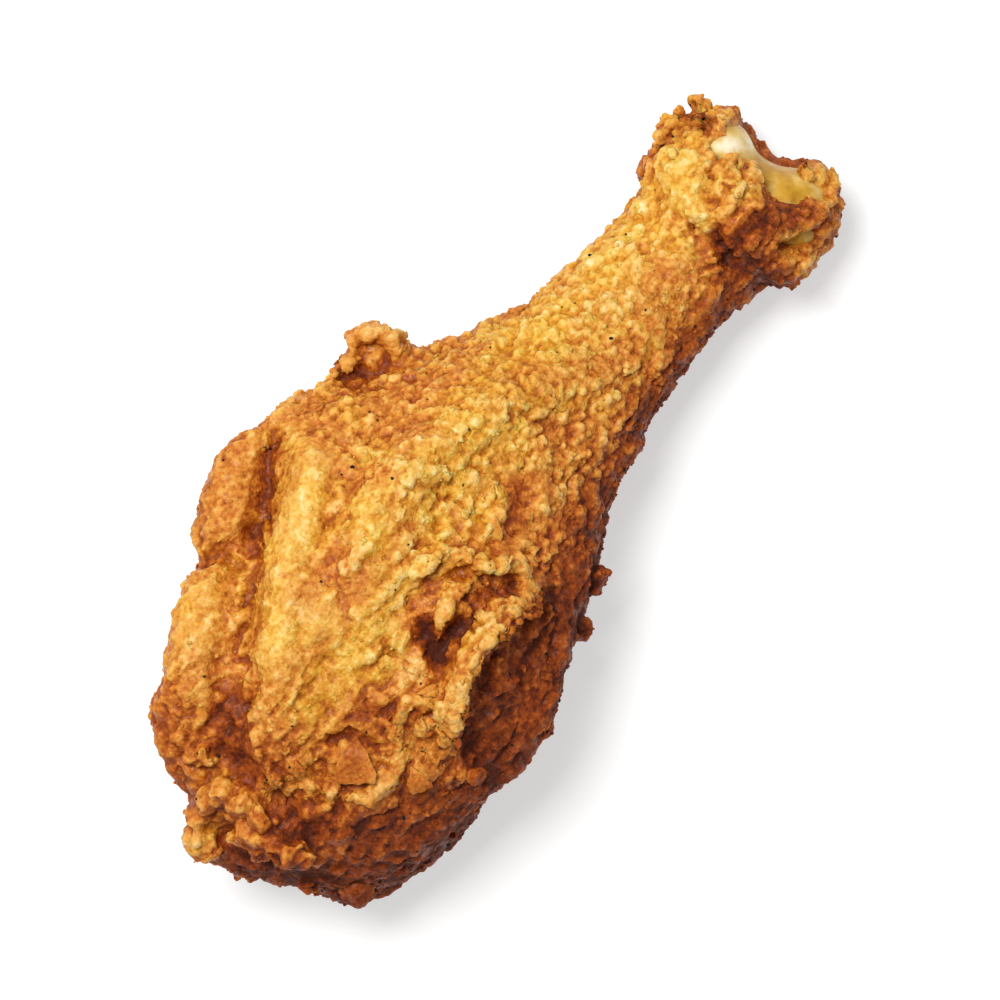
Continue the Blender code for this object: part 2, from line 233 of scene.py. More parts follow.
# %% Masks from strokes
# Each stroke: path of (along, across) in mm, how far it reaches to each side in mm, and its strength.
STROKES = {
    "crease": (
        (((49.5, 22.5), (47.6, 22.3), (45.5, 21.1), (44.1, 19.9), (41.9, 18.8), (39.3, 18.1), (36.4, 16.6)),
         1.9, 1.3),
        (((36.4, 14.7), (33.8, 14.1), (31.5, 13.1), (30.0, 12.0), (27.7, 11.4), (25.7, 10.4)), 1.4, 0.6),
        (((25.4, 8.8), (24.9, 6.5), (23.2, 5.1), (20.7, 4.8)), 1.5, 0.6),
        (((28.6, 22.4), (31.6, 20.5), (33.4, 19.2), (34.5, 16.5)), 1.4, 0.8),
        (((50.3, 13.4), (47.0, 11.8), (44.4, 10.2)), 1.6, 0.35),
        (((42.2, -6.6), (41.3, -8.6), (40.4, -10.6)), 2.2, 0.9),
        (((41.0, -10.6), (47.9, -9.8), (52.8, -11.8)), 1.7, 0.8),
        (((55.2, -17.4), (48.5, -16.0), (43.2, -16.6), (37.5, -18.8), (32.5, -21.6)), 2.2, 1.0),
        (((50.2, -6.0), (51.6, -8.4), (54.0, -13.0)), 1.3, 0.6),
        (((14.2, 4.0), (14.8, -1.4), (13.4, -6.0), (12.8, -12.0)), 1.7, 0.6),
        (((5.9, -3.4), (5.6, -6.4), (6.6, -9.4)), 2.0, 0.8),
        (((65.6, 17.4), (62.4, 19.0), (59.0, 21.0)), 1.2, 0.3),
        (((65.0, -5.2), (62.0, -6.8), (59.6, -7.8)), 2.4, 0.5),
        (((110.1, -0.8), (107.9, -1.9), (105.6, -5.0), (103.7, -7.6), (102.8, -9.5)), 1.6, 1.0),
        (((19.0, -8.0), (23.6, -6.4), (26.6, -8.6), (27.0, -12.6)), 1.4, 0.5),
    ),
    "bulge": (
        (((45.4, 25.8), (41.6, 24.0), (38.0, 22.0)), 4.8, 1.2),
        (((28.8, 18.1), (25.6, 17.0), (22.0, 14.6), (18.0, 12.0)), 5.2, 1.0),
        (((50.0, 17.2), (44.3, 14.8), (40.5, 12.8), (33.9, 9.6), (28.0, 6.0)), 4.2, 0.7),
        (((66.0, 3.0), (54.3, 8.1), (44.0, 6.0), (34.3, 4.0)), 4.4, 0.6),
        (((53.3, -13.6), (43.0, -12.6), (34.3, -16.0)), 3.6, 0.6),
        (((92.0, 0.5), (82.0, -1.0)), 22.0, 1.2),
        (((8.0, -20.0), (16.0, -23.0), (28.0, -26.0), (42.0, -27.0)), 7.0, 1.3),
        (((8.0, 8.0), (14.0, 13.0)), 5.0, 1.0),
    ),
    "smooth": (
        (((50.0, 17.2), (43.0, 13.6), (35.3, 9.0), (28.0, 5.4)), 5.8, 0.9),
        (((34.0, 2.6), (30.0, -3.0)), 6.0, 0.7),
        (((44.0, 24.0), (39.1, 22.4)), 4.6, 0.6),
        (((28.8, 18.1), (23.0, 15.9)), 4.6, 0.8),
        (((109.4, 3.7), (106.6, 2.8), (105.9, 0.7)), 3.2, 0.7),
        (((64.0, -5.6), (61.0, -7.4)), 3.2, 0.9),
        (((2.4, -1.0), (6.4, 1.1), (10.4, 0.6), (11.1, -2.3), (8.3, -5.1), (8.7, -7.2), (9.8, -11.0)), 3.4,
         1.0),
        (((67.6, 17.8), (68.6, 19.8), (67.6, 21.4), (65.6, 22.8)), 3.0, 1.0),
    ),
    "crag": (
        (((56.0, -12.0), (48.0, -12.6), (41.0, -13.6), (33.0, -16.6)), 9.0, 1.0),
        (((33.0, -10.0), (26.0, -11.0), (19.0, -9.0), (14.0, -6.0)), 6.5, 0.9),
        (((57.0, -2.0), (61.0, -8.0)), 6.0, 0.7),
        (((108.8, 7.0), (114.0, 5.3), (117.0, 2.0)), 2.6, 0.9),
        (((113.5, -1.6), (112.7, -4.2), (110.8, -5.7), (108.2, -5.3)), 3.4, 0.4),
        (((114.4, -11.9), (114.0, -14.9)), 3.0, 0.4),
    ),
    "golden": (
        (((104.0, 3.0), (90.0, 2.4), (75.0, 4.0), (62.0, 2.0), (50.0, 5.0)), 9.5, 0.9),
        (((2.4, -1.0), (5.0, 0.0)), 3.0, 0.5),
        (((91.0, 3.4), (82.0, 3.0)), 6.0, 1.2),
        (((112.6, -2.6), (111.6, -5.4)), 3.6, 0.5),
        (((108.0, 8.0), (112.0, 7.4), (116.6, 6.0)), 4.4, 0.6),
        (((50.0, 17.0), (40.0, 12.5), (30.0, 6.0)), 7.0, 0.65),
        (((28.8, 18.1), (23.0, 15.9)), 5.0, 0.5),
        (((62.0, -2.0), (50.0, -1.0), (37.0, -2.0), (24.0, -2.0)), 7.0, 0.7),
        (((110.6, 3.9), (106.6, 2.8), (105.9, 0.7)), 5.0, 1.5),
    ),
    # Crisp torn ridges: less rough, and in the colour a touch paler, partly dry crust and partly a painted
    # highlight.
    "crisp": (
        (((54.4, -15.8), (50.0, -14.4), (45.2, -13.5), (38.5, -15.2), (33.0, -17.9)), 3.4, 1.0),
        (((41.5, -7.4), (45.5, -7.2), (48.6, -6.7), (50.6, -7.6)), 2.0, 0.9),
        (((47.2, -1.8), (51.9, -2.9)), 1.8, 0.7),
        (((51.5, -4.8), (52.9, -6.9), (55.5, -12.1)), 2.0, 0.8),
    ),
    # Browned and shaded: darker in folds, hollows, on the side away from the lamp and low down; partly real
    # browning, partly painted shade.
    "browned": (
        (((73.0, -18.0), (62.0, -20.5), (51.0, -25.0), (36.0, -27.0), (22.0, -25.0), (8.0, -19.0)), 10.5,
         0.85),
        (((56.0, -19.5), (48.0, -19.5), (41.0, -20.5), (34.0, -22.5)), 5.5, 0.85),
        (((11.6, -8.4), (14.6, -12.4), (18.0, -17.0), (22.0, -21.0)), 6.0, 0.75),
        (((9.2, -20.4), (8.1, -24.0)), 4.5, 1.0),
        (((49.5, 22.5), (45.5, 21.1), (41.9, 18.8), (37.0, 17.0)), 2.6, 0.3),
        (((19.0, 6.8), (17.0, 4.5), (15.4, 2.4)), 4.4, 0.62),
        (((65.8, 17.6), (62.4, 19.0)), 2.0, 0.3),
        (((3.6, -6.6), (6.0, -12.0), (10.0, -18.0)), 5.0, 0.9),
        (((16.0, 12.5), (8.0, 5.5)), 5.0, 0.4),
        (((104.9, -8.2), (108.5, -9.8), (111.8, -11.1)), 4.2, 0.85),
        (((102.8, -9.5), (105.4, -12.9), (104.3, -16.5)), 4.4, 0.7),
        (((114.4, -11.9), (114.0, -16.0)), 3.6, 0.6),
        (((100.0, -12.0), (90.0, -13.0), (78.0, -13.5)), 5.0, 0.7),
        (((76.0, 2.0), (71.0, 2.0)), 5.0, 0.2),
        (((37.0, -23.0), (30.0, -25.0)), 6.0, 1.05),
        (((115.5, 6.0), (112.0, 6.4)), 3.2, 0.3),
        (((42.2, -6.6), (41.3, -8.6), (40.4, -10.6)), 3.0, 0.75),
        (((41.0, -10.6), (47.9, -9.8), (52.8, -11.8)), 2.4, 0.35),
        (((47.0, 26.0), (41.0, 24.4), (36.0, 22.4)), 6.0, 0.15),
        (((26.0, -1.0), (20.0, -3.0), (15.0, -1.0)), 7.0, 0.3),
        (((6.4, 1.1), (10.4, 0.6), (11.3, -2.4), (8.4, -5.0), (9.8, -11.0)), 4.0, 0.2),
        (((30.0, -8.6), (22.0, -9.4)), 6.0, 0.45),
        (((63.6, -5.8), (60.6, -7.6)), 2.8, 0.45),
    ),
    "bare": (
        (((114.2, 0.6), (115.3, -0.8), (116.2, -2.0)), 2.2, 1.0),
        (((118.4, -2.0), (119.4, -4.6), (118.2, -7.4), (115.2, -9.4)), 4.8, 1.0),
        (((116.8, -10.2), (117.6, -11.6), (117.7, -13.6)), 2.0, 1.0),
        (((108.9, -14.9), (110.3, -15.8), (111.8, -16.6)), 1.8, 1.0),
    ),
    "cream": (
        (((113.4, 1.4), (115.3, -0.6), (116.8, -2.0)), 2.8, 1.0),
        (((116.8, -10.2), (117.6, -11.6), (117.7, -13.6)), 2.0, 0.6),
    ),
}


def distance_to_path(spots, path):
    """How far points lie from a path, seen from above, in millimetres."""
    best = np.full(len(spots), np.inf)
    for start, end in zip(path, path[1:]):
        start, end = np.array(start), np.array(end)
        run = end - start
        share = np.clip((spots - start) @ run / (run @ run), 0, 1)
        best = np.minimum(best, np.linalg.norm(spots - start - share[:, None] * run, axis=1))
    return best


def soft_step(values, low, high):
    """0 below low, 1 above high, and a soft rise between them."""
    share = np.clip((values - low) / (high - low), 0, 1)
    return share * share * (3 - 2 * share)


def store(mesh, name, values):
    """Keeps one number a point as an attribute."""
    attribute = mesh.attributes.new(name, "FLOAT", "POINT")
    attribute.data.foreach_set("value", np.ascontiguousarray(values, np.float32))


def directions(mesh):
    """Which way is outwards at each point of a mesh, as rows of a table."""
    table = np.empty(len(mesh.vertices) * 3, np.float32)
    mesh.vertices.foreach_get("normal", table)
    return table.reshape(-1, 3)


def masks_of(mesh):
    """The masks of the coating for each point of a mesh, as a dictionary of arrays."""
    spots = coordinates(mesh)
    spots[:, 0] -= cad_low.x / MM
    up = soft_step(directions(mesh)[:, 2], -0.35, 0.15)
    made = {}
    # Browning and painted shade run on round the flanks. Every other mask is for what faces up.
    for name, strokes in STROKES.items():
        mask = np.zeros(len(spots))
        for path, reach, strength in strokes:
            near = soft_step(1 - distance_to_path(spots[:, :2], path) / reach, 0, 1)
            mask = np.maximum(mask, near * strength)
        made[name] = mask if name == "browned" else mask * up
    along, across, height = spots.T
    # The shank and the top of the belly next to it are the grainy part.
    made["grain"] = soft_step(along, 50, 72) * (1 - 0.2 * soft_step(along, 102, 110))
    ridge_of_belly = 0.55 * soft_step(along, 40, 60) * soft_step(12 - abs(across - 4), 0, 8)
    made["grain"] = np.maximum(made["grain"], ridge_of_belly)
    # Low down, near the table, it is darker all round, partly browned in the oil and partly painted shade.
    low_down = 1 - soft_step(height, 2, 16)
    made["browned"] = np.maximum(made["browned"], 0.7 * low_down)
    return made


def mask_out(mesh):
    """Keeps every mask of the coating on a mesh."""
    for name, values in masks_of(mesh).items():
        store(mesh, name, values)


OVER_BONE = 2.1  # over the bone's end the crust lies on top of the knuckle, this many millimetres further out
OVER_TIP = 0.1  # what the tip adds to that, as a share
BONE_STARTS = (103, 107)  # from where the crust stands out, and fully so, in mm from the fat end
TIP_STARTS = (115, 117.5)


def swell_over_bone(mesh):
    """Moves the points near the knuckle outwards."""
    spots = coordinates(mesh)
    along = spots[:, 0] - cad_low.x / MM
    out = OVER_BONE * (soft_step(along, *BONE_STARTS) + OVER_TIP * soft_step(along, *TIP_STARTS))
    spots += out[:, None] * directions(mesh)
    mesh.vertices.foreach_set("co", np.ascontiguousarray(spots * MM, np.float32).ravel())
    mesh.update()


swell_over_bone(form)
mask_out(form)
print("masks:", ", ".join(STROKES))

# %% [markdown]
# ## A tree that scatters bits
# Nubs of batter, grains of flour, chips and pepper all repeat over a surface by the hundred, which is what
# Geometry Nodes are for. One tree serves them all. It scatters points by a mask, in clusters where the noise
# says so, sinks each a little into the surface, puts a small shape on it, turned and sized at random, and
# realizes them. Then a noise that is fixed in space bends every one, so that no two are alike. It ends in Set
# Material.

# %% The scatter tree
def new_tree(name, sizes):
    """A tree with geometry in and out and a named number input for each size, and its inputs' sockets."""
    tree = bpy.data.node_groups.new(name, "GeometryNodeTree")
    for way in ("INPUT", "OUTPUT"):
        tree.interface.new_socket("Geometry", in_out=way, socket_type="NodeSocketGeometry")
    for key, value in sizes.items():
        kind = "NodeSocketInt" if isinstance(value, int) else "NodeSocketFloat"
        tree.interface.new_socket(key, in_out="INPUT", socket_type=kind).default_value = value
    return tree, tree.nodes.new("NodeGroupInput").outputs


def with_nodes(item, tree, sizes):
    """Puts a Geometry Nodes modifier on an item and sets its inputs by their identifiers."""
    modifier = item.modifiers.new(tree.name, "NODES")
    modifier.node_group = tree
    for name, value in sizes.items():
        modifier[socket_id(tree, name)] = value
    return item


def scatter_tree(name, mask_name, bit, sizes, material):
    """Geometry Nodes that scatter a shape over a surface. bit adds the shape's nodes and returns the last."""
    tree, given = new_tree(name, sizes)
    add = partial(add_node, tree)
    spot = add("ShaderNodeVectorMath", {0: add("GeometryNodeInputPosition"), "Scale": 1 / MM},
               operation="SCALE")

    # How many: the mask and the clusters set the density.
    where = add("GeometryNodeInputNamedAttribute", {"Name": mask_name},
                data_type="FLOAT").outputs["Attribute"]
    share = add("ShaderNodeMath", {0: where, 1: given["Mask Share"], 2: given["Base Share"]},
                operation="MULTIPLY_ADD", use_clamp=True)
    sleek = add("GeometryNodeInputNamedAttribute", {"Name": "smooth"}, data_type="FLOAT").outputs["Attribute"]
    rough = add("ShaderNodeMath", {0: sleek, 1: -0.9, 2: 1.0}, operation="MULTIPLY_ADD")
    apart = add("ShaderNodeMath", {0: 1.0, 1: given["Cluster Size"]}, operation="DIVIDE")
    crowd = add("ShaderNodeTexNoise", {"Vector": spot, "Scale": apart, "Detail": 1.0})
    crowd = add("ShaderNodeMapRange", {"Value": crowd, "From Min": 0.38, "From Max": 0.60, "To Min": 0.15,
                                       "To Max": 1.0})
    per_area = add("ShaderNodeMath", {0: given["Per Square cm"], 1: 1 / (10 * MM) ** 2}, operation="MULTIPLY")
    density = share
    for factor in (rough, per_area, crowd.outputs["Result"]):
        density = add("ShaderNodeMath", {0: density, 1: factor}, operation="MULTIPLY")
    points = add("GeometryNodeDistributePointsOnFaces",
                 {"Mesh": given["Geometry"], "Density": density, "Seed": given["Seed"]},
                 distribute_method="RANDOM")

    # How large: many small ones and few large ones.
    chance = add("FunctionNodeRandomValue", {"Seed": 3}, data_type="FLOAT").outputs["Value"]
    rare = add("ShaderNodeMath", {0: chance, 1: 2.2}, operation="POWER")
    size = add("ShaderNodeMapRange", {"Value": rare, "To Min": given["Smallest"], "To Max": given["Largest"]})
    metres = add("ShaderNodeMath", {0: size.outputs["Result"], 1: MM}, operation="MULTIPLY")
    cloud = add("GeometryNodeStoreNamedAttribute",
                {"Geometry": points.outputs["Points"], "Name": "size", "Value": metres},
                data_type="FLOAT", domain="POINT")
    metres = add("GeometryNodeInputNamedAttribute", {"Name": "size"}, data_type="FLOAT").outputs["Attribute"]
    deep = add("ShaderNodeMath", {0: metres, 1: given["Sink"]}, operation="MULTIPLY")
    down = add("ShaderNodeVectorMath", {0: points.outputs["Normal"], "Scale": deep}, operation="SCALE")
    down = add("ShaderNodeVectorMath", {0: down, 1: (-1.0,) * 3}, operation="MULTIPLY")
    cloud = add("GeometryNodeSetPosition", {"Geometry": cloud, "Offset": down})

    # What colour: a bit takes half the painted light and shade of the place it lies on, is made a set share
    # paler, and each has a tone of its own.
    lying_on = add("GeometryNodeInputNamedAttribute", {"Name": "height"},
                   data_type="FLOAT").outputs["Attribute"]
    paler = add("ShaderNodeMath", {0: lying_on, 1: 0.5, 2: given["Paler"]}, operation="MULTIPLY_ADD")
    tone = add("FunctionNodeRandomValue", {"Seed": 1}, data_type="FLOAT").outputs["Value"]
    for attribute, value in (("height", paler), ("tone", tone)):
        cloud = add("GeometryNodeStoreNamedAttribute", {"Geometry": cloud, "Name": attribute, "Value": value},
                    data_type="FLOAT", domain="POINT")

    # The bits themselves, turned and squeezed at random.
    spin = add("FunctionNodeRandomValue", {0: (-1.0,) * 3, 1: (1.0,) * 3, "Seed": 2},
               data_type="FLOAT_VECTOR")
    spin = add("ShaderNodeVectorMath", {0: spin.outputs["Value"], "Scale": given["Tumble"]},
               operation="SCALE")
    turn = add("FunctionNodeRotateRotation", {"Rotation": points.outputs["Rotation"], "Rotate By": spin},
               rotation_space="LOCAL")
    squeeze = add("FunctionNodeRandomValue", {0: (0.65,) * 3, 1: (1.2,) * 3, "Seed": 4},
                  data_type="FLOAT_VECTOR")
    scale = add("ShaderNodeVectorMath", {0: squeeze.outputs["Value"], "Scale": metres}, operation="SCALE")
    bits = add("GeometryNodeInstanceOnPoints", {"Points": cloud, "Instance": bit(add), "Rotation": turn,
                                                "Scale": scale})
    mesh = add("GeometryNodeRealizeInstances", {"Geometry": bits})

    # The bend that makes each one different.
    fineness = add("ShaderNodeMath", {0: 1.0, 1: given["Bend Size"]}, operation="DIVIDE")
    noise = add("ShaderNodeTexNoise", {"Vector": spot, "Scale": fineness, "Detail": 1.0})
    centred = add("ShaderNodeVectorMath", {0: noise.outputs["Color"], 1: (0.5,) * 3}, operation="SUBTRACT")
    bend = add("ShaderNodeMath", {0: given["Bend"], 1: 2 * MM}, operation="MULTIPLY")
    offset = add("ShaderNodeVectorMath", {0: centred, "Scale": bend}, operation="SCALE")
    mesh = add("GeometryNodeSetPosition", {"Geometry": mesh, "Offset": offset})
    mesh = add("GeometryNodeSetShadeSmooth", {"Geometry": mesh})
    mesh = add("GeometryNodeSetMaterial", {"Geometry": mesh, "Material": material})
    add("NodeGroupOutput", {0: mesh})
    return tree


def scattered(name, ground, mask_name, bit, sizes, material=None):
    """Many small things over a ground mesh, as one plain mesh."""
    tree = scatter_tree(name, mask_name, bit, sizes, material)
    return finished_mesh(with_nodes(add_object(name, ground.copy()), tree, sizes), name)


def grain_bit(add):
    """A grain: a 20-faced ball one unit across."""
    return add("GeometryNodeMeshIcoSphere", {"Radius": 0.5, "Subdivisions": 1})


def nub_bit(add):
    """A nub: an 80-faced ball one unit across."""
    return add("GeometryNodeMeshIcoSphere", {"Radius": 0.5, "Subdivisions": 2})


def chip_bit(add):
    """A chip: a thin seven-cornered plate."""
    plate = add("GeometryNodeMeshCylinder", {"Vertices": 7, "Side Segments": 1, "Fill Segments": 2,
                                             "Radius": 0.5, "Depth": 0.20}, fill_type="TRIANGLE_FAN")
    return plate.outputs["Mesh"]

# %% [markdown]
# ## Nubs and lumps of batter
# Wet flour balls up into nubs of one to three millimetres before it goes into the oil. They fry onto the
# coating and melt into it, so they are scattered over the smooth form now, and the next remesh welds them in.
# The biggest lumps, at the fat end and at the knob's tip, are placed one by one.

# %% Nubs and lumps
NUBS = {"Per Square cm": 15.0, "Mask Share": 0.8, "Base Share": 0.12, "Cluster Size": 7.0, "Smallest": 0.9,
        "Largest": 2.7, "Sink": 0.3, "Paler": 0.0, "Tumble": 3.1, "Bend": 1.4, "Bend Size": 1.5, "Seed": 5}
NUB_FACES = 80
LUMP_SEED = 500
LUMP_BEND = 0.5  # how far a lump's surface is bent, as a share of its radius
LUMP_BEND_SIZE = 1.4 * MM
BEND_SEED = 1  # mathutils' noise starts from the clock unless it is given a seed
# Place (along, across), radius in mm, and how far its centre stands above the form, as a share of the radius.
LUMPS = (
    ((3.2, -1.2), 2.4, 0.10), ((6.4, 1.1), 2.3, 0.25), ((10.4, 0.6), 2.5, 0.30), ((11.3, -2.4), 2.1, 0.30),
    ((8.4, -5.0), 1.8, 0.40), ((8.6, -7.4), 2.1, 0.30), ((9.8, -11.0), 2.3, 0.30), ((10.9, -5.2), 1.6, 0.30),
    ((4.9, -0.2), 1.7, 0.40), ((9.2, -9.2), 1.5, 0.50), ((8.4, 1.2), 1.6, 0.50), ((12.2, -0.6), 1.3, 0.50),
    ((15.6, -3.4), 1.5, 0.30), ((6.8, -14.6), 1.7, 0.25), ((7.8, -23.4), 1.8, 0.30), ((12.4, 5.6), 1.8, 0.20),
    ((116.0, 5.2), 1.4, 0.60), ((116.4, 6.8), 1.1, 1.30), ((110.4, 6.8), 1.0, 0.50),
    ((109.4, 7.6), 0.8, 1.20), ((112.2, 6.6), 1.3, 0.40), ((114.0, 6.4), 1.1, 0.50),
    ((112.8, -2.6), 0.9, 0.40), ((110.8, -4.8), 1.0, 0.30), ((113.9, -12.8), 1.0, 0.30),
    ((106.8, -9.6), 1.1, 0.20), ((118.6, -9.7), 0.8, 0.60), ((60.6, -20.4), 1.4, 0.60),
    ((59.2, -21.4), 1.1, 0.60), ((54.0, -23.4), 1.3, 0.50), ((8.9, -22.0), 1.3, 0.50),
    ((8.1, -23.8), 0.9, 1.50), ((41.1, -27.0), 1.6, 0.10), ((55.6, 24.6), 1.5, 0.40),
    ((12.3, 12.6), 1.4, 0.40), ((7.9, 9.0), 1.4, 0.30),
)
ABOVE_ALL = 200  # a height in mm that nothing reaches
HALF_WAY_UP = 20

nub_mesh = scattered("nubs", form, "crag", nub_bit, NUBS)
print("nubs:", triangles(nub_mesh) // NUB_FACES)
form_tree = search_tree(form)


def on_top(tree, along, across):
    """The place on top of a shape under a point, or else nearest to it, and the direction outwards there."""
    spot, normal, _, _ = tree.ray_cast(place(along, across, ABOVE_ALL), Vector((0, 0, -1)))
    if spot is None:
        spot, normal, _, _ = tree.find_nearest(place(along, across, HALF_WAY_UP))
    return spot, normal


def add_lump(shape, seed, spot, radius, raise_by):
    """Adds an uneven ball of batter to a bmesh, standing on the form."""
    rng = random.Random(LUMP_SEED + seed)
    foot, out = on_top(form_tree, *spot)
    sizes = [radius * MM * rng.uniform(0.82, 1.12) for _ in range(3)]
    turned = Matrix.Rotation(rng.uniform(0, math.tau), 4, Vector((0.3, 0.5, 0.8)))
    where = Matrix.Translation(foot + out * raise_by * radius * MM)
    ball = bmesh.ops.create_icosphere(shape, subdivisions=3, radius=1,
                                      matrix=where @ turned @ Matrix.Diagonal((*sizes, 1)))
    for vert in ball["verts"]:
        vert.co += noise_vector(vert.co / LUMP_BEND_SIZE) * LUMP_BEND * radius * MM


seed_set(BEND_SEED)
lump_shape = bmesh.new()
for number, lump in enumerate(LUMPS):
    add_lump(lump_shape, number, *lump)
print("lumps:", len(LUMPS))

# %% [markdown]
# ## Torn ridges
# Where the skin folds, wet flour gathers and tears, and fries into thin ridges that stand up and lean over.
# Such a ridge is a ribbon that is thick at its foot and thin at its torn lip. Each is swept along a short
# path that lies on the form, with a lip that rises and falls. At the flank a strip of skin curled up, and
# that is a flattened tube.

# %% Ridges of torn batter
# Path (along, across), height in mm, lean to the -Y side as a share of it, thickness of the foot in mm.
RIDGES = (
    (((55.0, -16.2), (50.0, -14.4), (45.2, -13.5), (38.5, -15.2), (32.4, -18.2)), 3.6, 0.6, 4.6),
    (((42.8, -7.6), (45.5, -7.4), (48.6, -6.9), (51.0, -8.0)), 2.2, 0.6, 2.8),
    (((46.4, -1.8), (49.4, -2.2), (52.4, -3.3)), 1.4, 0.6, 2.3),
    (((51.2, -4.4), (52.9, -7.1), (55.9, -12.6)), 2.0, 0.6, 2.7),
    (((28.0, -13.4), (31.5, -11.0), (34.6, -11.6)), 1.6, 0.6, 2.5),
    (((18.0, -9.0), (21.5, -13.6), (26.5, -15.6)), 1.3, 0.6, 2.5),
    (((64.6, 20.2), (62.4, 21.2), (58.4, 23.0)), 1.6, 0.2, 3.0),
)
# A strip of skin that curled up at the flank: (along, across, up, radius) in mm.
HOOK = ((66.0, 16.2, 19.6, 1.4), (68.0, 17.8, 20.6, 1.5), (68.6, 19.8, 21.4, 1.4), (67.4, 21.4, 21.4, 1.4),
        (65.2, 22.4, 20.8, 1.2))
STRIP_CORNERS = 10
LIP_WAVE = 2.2 * MM  # how long the waves in a ridge's lip are
LIP_UNEVEN = 0.4  # how far they rise and fall, as a share of the ridge's height
ROOT = 0.8  # how deep a ridge's foot is set into the form, in mm


def join_rings(shape, rings):
    """Adds the faces of a tube between rings of corners, and its two ends."""
    for ring, after in zip(rings, rings[1:]):
        for corner in range(len(ring)):
            beside = (corner + 1) % len(ring)
            shape.faces.new((ring[corner], ring[beside], after[beside], after[corner]))
    shape.faces.new(rings[0])
    shape.faces.new(rings[-1])


def add_ridge(shape, seed, path, height, lean, foot):
    """Adds a leaning ribbon with a wavy lip to a bmesh."""
    line = smooth_path([on_top(form_tree, *point)[0] for point in path], steps=9)
    rings = []
    for number, spot in enumerate(line):
        ahead = line[min(number + 1, len(line) - 1)] - line[max(number - 1, 0)]
        out = form_tree.find_nearest(spot)[1]
        side = ahead.cross(out).normalized()
        if side.y > 0:
            side = -side
        ends = math.sin(math.pi * (number + 0.4) / (len(line) - 0.2)) ** 0.5
        wave = noise_vector(spot / LIP_WAVE + Vector((seed, 0, 0))).x
        tall = height * MM * ends * (0.9 + LIP_UNEVEN * wave)
        thick = foot * MM * (0.4 + 0.6 * ends)
        lip = spot + out * tall + side * tall * lean
        middle = spot + out * tall * 0.6 + side * tall * lean * 0.3
        # Foot, middle and lip on the outer side, then lip, middle and foot on the side that it leans to.
        rings.append([shape.verts.new(p) for p in (
            spot - out * ROOT * MM - side * thick * 0.65,
            middle - side * thick * 0.38,
            lip - side * thick * 0.16 + out * thick * 0.06,
            lip + side * thick * 0.14 - out * thick * 0.05,
            middle + side * thick * 0.24,
            spot - out * ROOT * MM + side * thick * 0.35,
        )])
    join_rings(shape, rings)


def add_strip(shape, points):
    """Adds a flattened tube through points (along, across, up, radius), given in mm."""
    line = smooth_path(points, steps=5)
    spots = [place(*point[:3]) for point in line]
    rings = []
    for number, spot in enumerate(spots):
        ahead = (spots[min(number + 1, len(spots) - 1)] - spots[max(number - 1, 0)]).normalized()
        side = ahead.cross(Vector((0, 0, 1))).normalized()
        over = side.cross(ahead)
        turns = [math.tau * corner / STRIP_CORNERS for corner in range(STRIP_CORNERS)]
        rings.append([shape.verts.new(spot + (side * math.cos(turn) + over * 1.7 * math.sin(turn))
                                      * line[number][3] * MM) for turn in turns])
    join_rings(shape, rings)


ridge_shape = bmesh.new()
for number, ridge in enumerate(RIDGES):
    add_ridge(ridge_shape, number, *ridge)
add_strip(ridge_shape, HOOK)
bmesh.ops.recalc_face_normals(ridge_shape, faces=ridge_shape.faces)
print("ridges:", len(RIDGES), "with", len(ridge_shape.faces), "faces")

# %% [markdown]
# ## One skin for form, nubs and ridges
# A second, finer remesh joins everything into one skin whose squares are small enough to carry the crags and
# grains. What ends up loose beside it is dropped.

# %% The crust's skin
SKIN_GRID = 0.30 * MM
SKIN_SMOOTHING = 3


def keep_largest(mesh):
    """Drops the loose specks that a remesh leaves beside the main skin, and returns how many there were."""
    shape = bmesh.new()
    shape.from_mesh(mesh)
    islands, seen = [], set()
    for vert in shape.verts:
        if vert in seen:
            continue
        island = [vert]
        seen.add(vert)
        for reached in island:
            for edge in reached.link_edges:
                other = edge.other_vert(reached)
                if other not in seen:
                    seen.add(other)
                    island.append(other)
        islands.append(island)
    islands.sort(key=len)
    loose = [vert for island in islands[:-1] for vert in island]
    bmesh.ops.delete(shape, geom=loose, context="VERTS")
    shape.to_mesh(mesh)
    shape.free()
    return len(islands) - 1


whole = bmesh.new()
for mesh in (form, nub_mesh):
    whole.from_mesh(mesh)
for shape in (lump_shape, ridge_shape):
    whole.from_mesh(as_mesh(shape, "joined"))
skin = melted(whole, "skin", SKIN_GRID, SKIN_SMOOTHING)
print("specks dropped:", keep_largest(skin))
mask_out(skin)
print("skin:", len(skin.vertices), "points")

# %% [markdown]
# ## Relief: swells, crags, plates and grains
# The crust's surface is a rule and not a list of bumps, so Geometry Nodes push each point of the skin out or
# in. Wide swells come first, then crags where the batter tore, then plates with a step at their edge, like
# overlapping chips, and last the grains of fried flour. Sideways pushes between them make small overhangs,
# which catch shade as the real crust does. The tree also keeps what the colours need: how high a point
# stands and how far it faces up, which the colours turn into painted light and shade, and each grain's own
# tone.

# %% The relief tree
RELIEF = {
    "Swell Size": 11.0, "Swell Height": 0.6,
    "Fold Size": 4.6, "Fold Height": 0.7,
    "Crag Size": 4.6, "Crag Height": 1.0,
    "Plate Size": 3.3, "Plate Height": 0.6,
    "Nub Size": 2.3, "Nub Height": 0.55,
    "Grain Size": 1.25, "Grain Height": 0.55,
    "Fine Size": 0.7, "Fine Height": 0.14,
    "Shear": 0.55, "Crease Depth": 1.2, "Bulge Height": 1.0, "Bare Depth": 3.2,
    "Near Rounds": 10, "Wide Rounds": 120,
}
CELL_BEND = 0.8  # how far the borders of cells are bent, in cells
FOLD_STRETCH = (0.55, 1.0, 1.0)  # folds run lengthwise


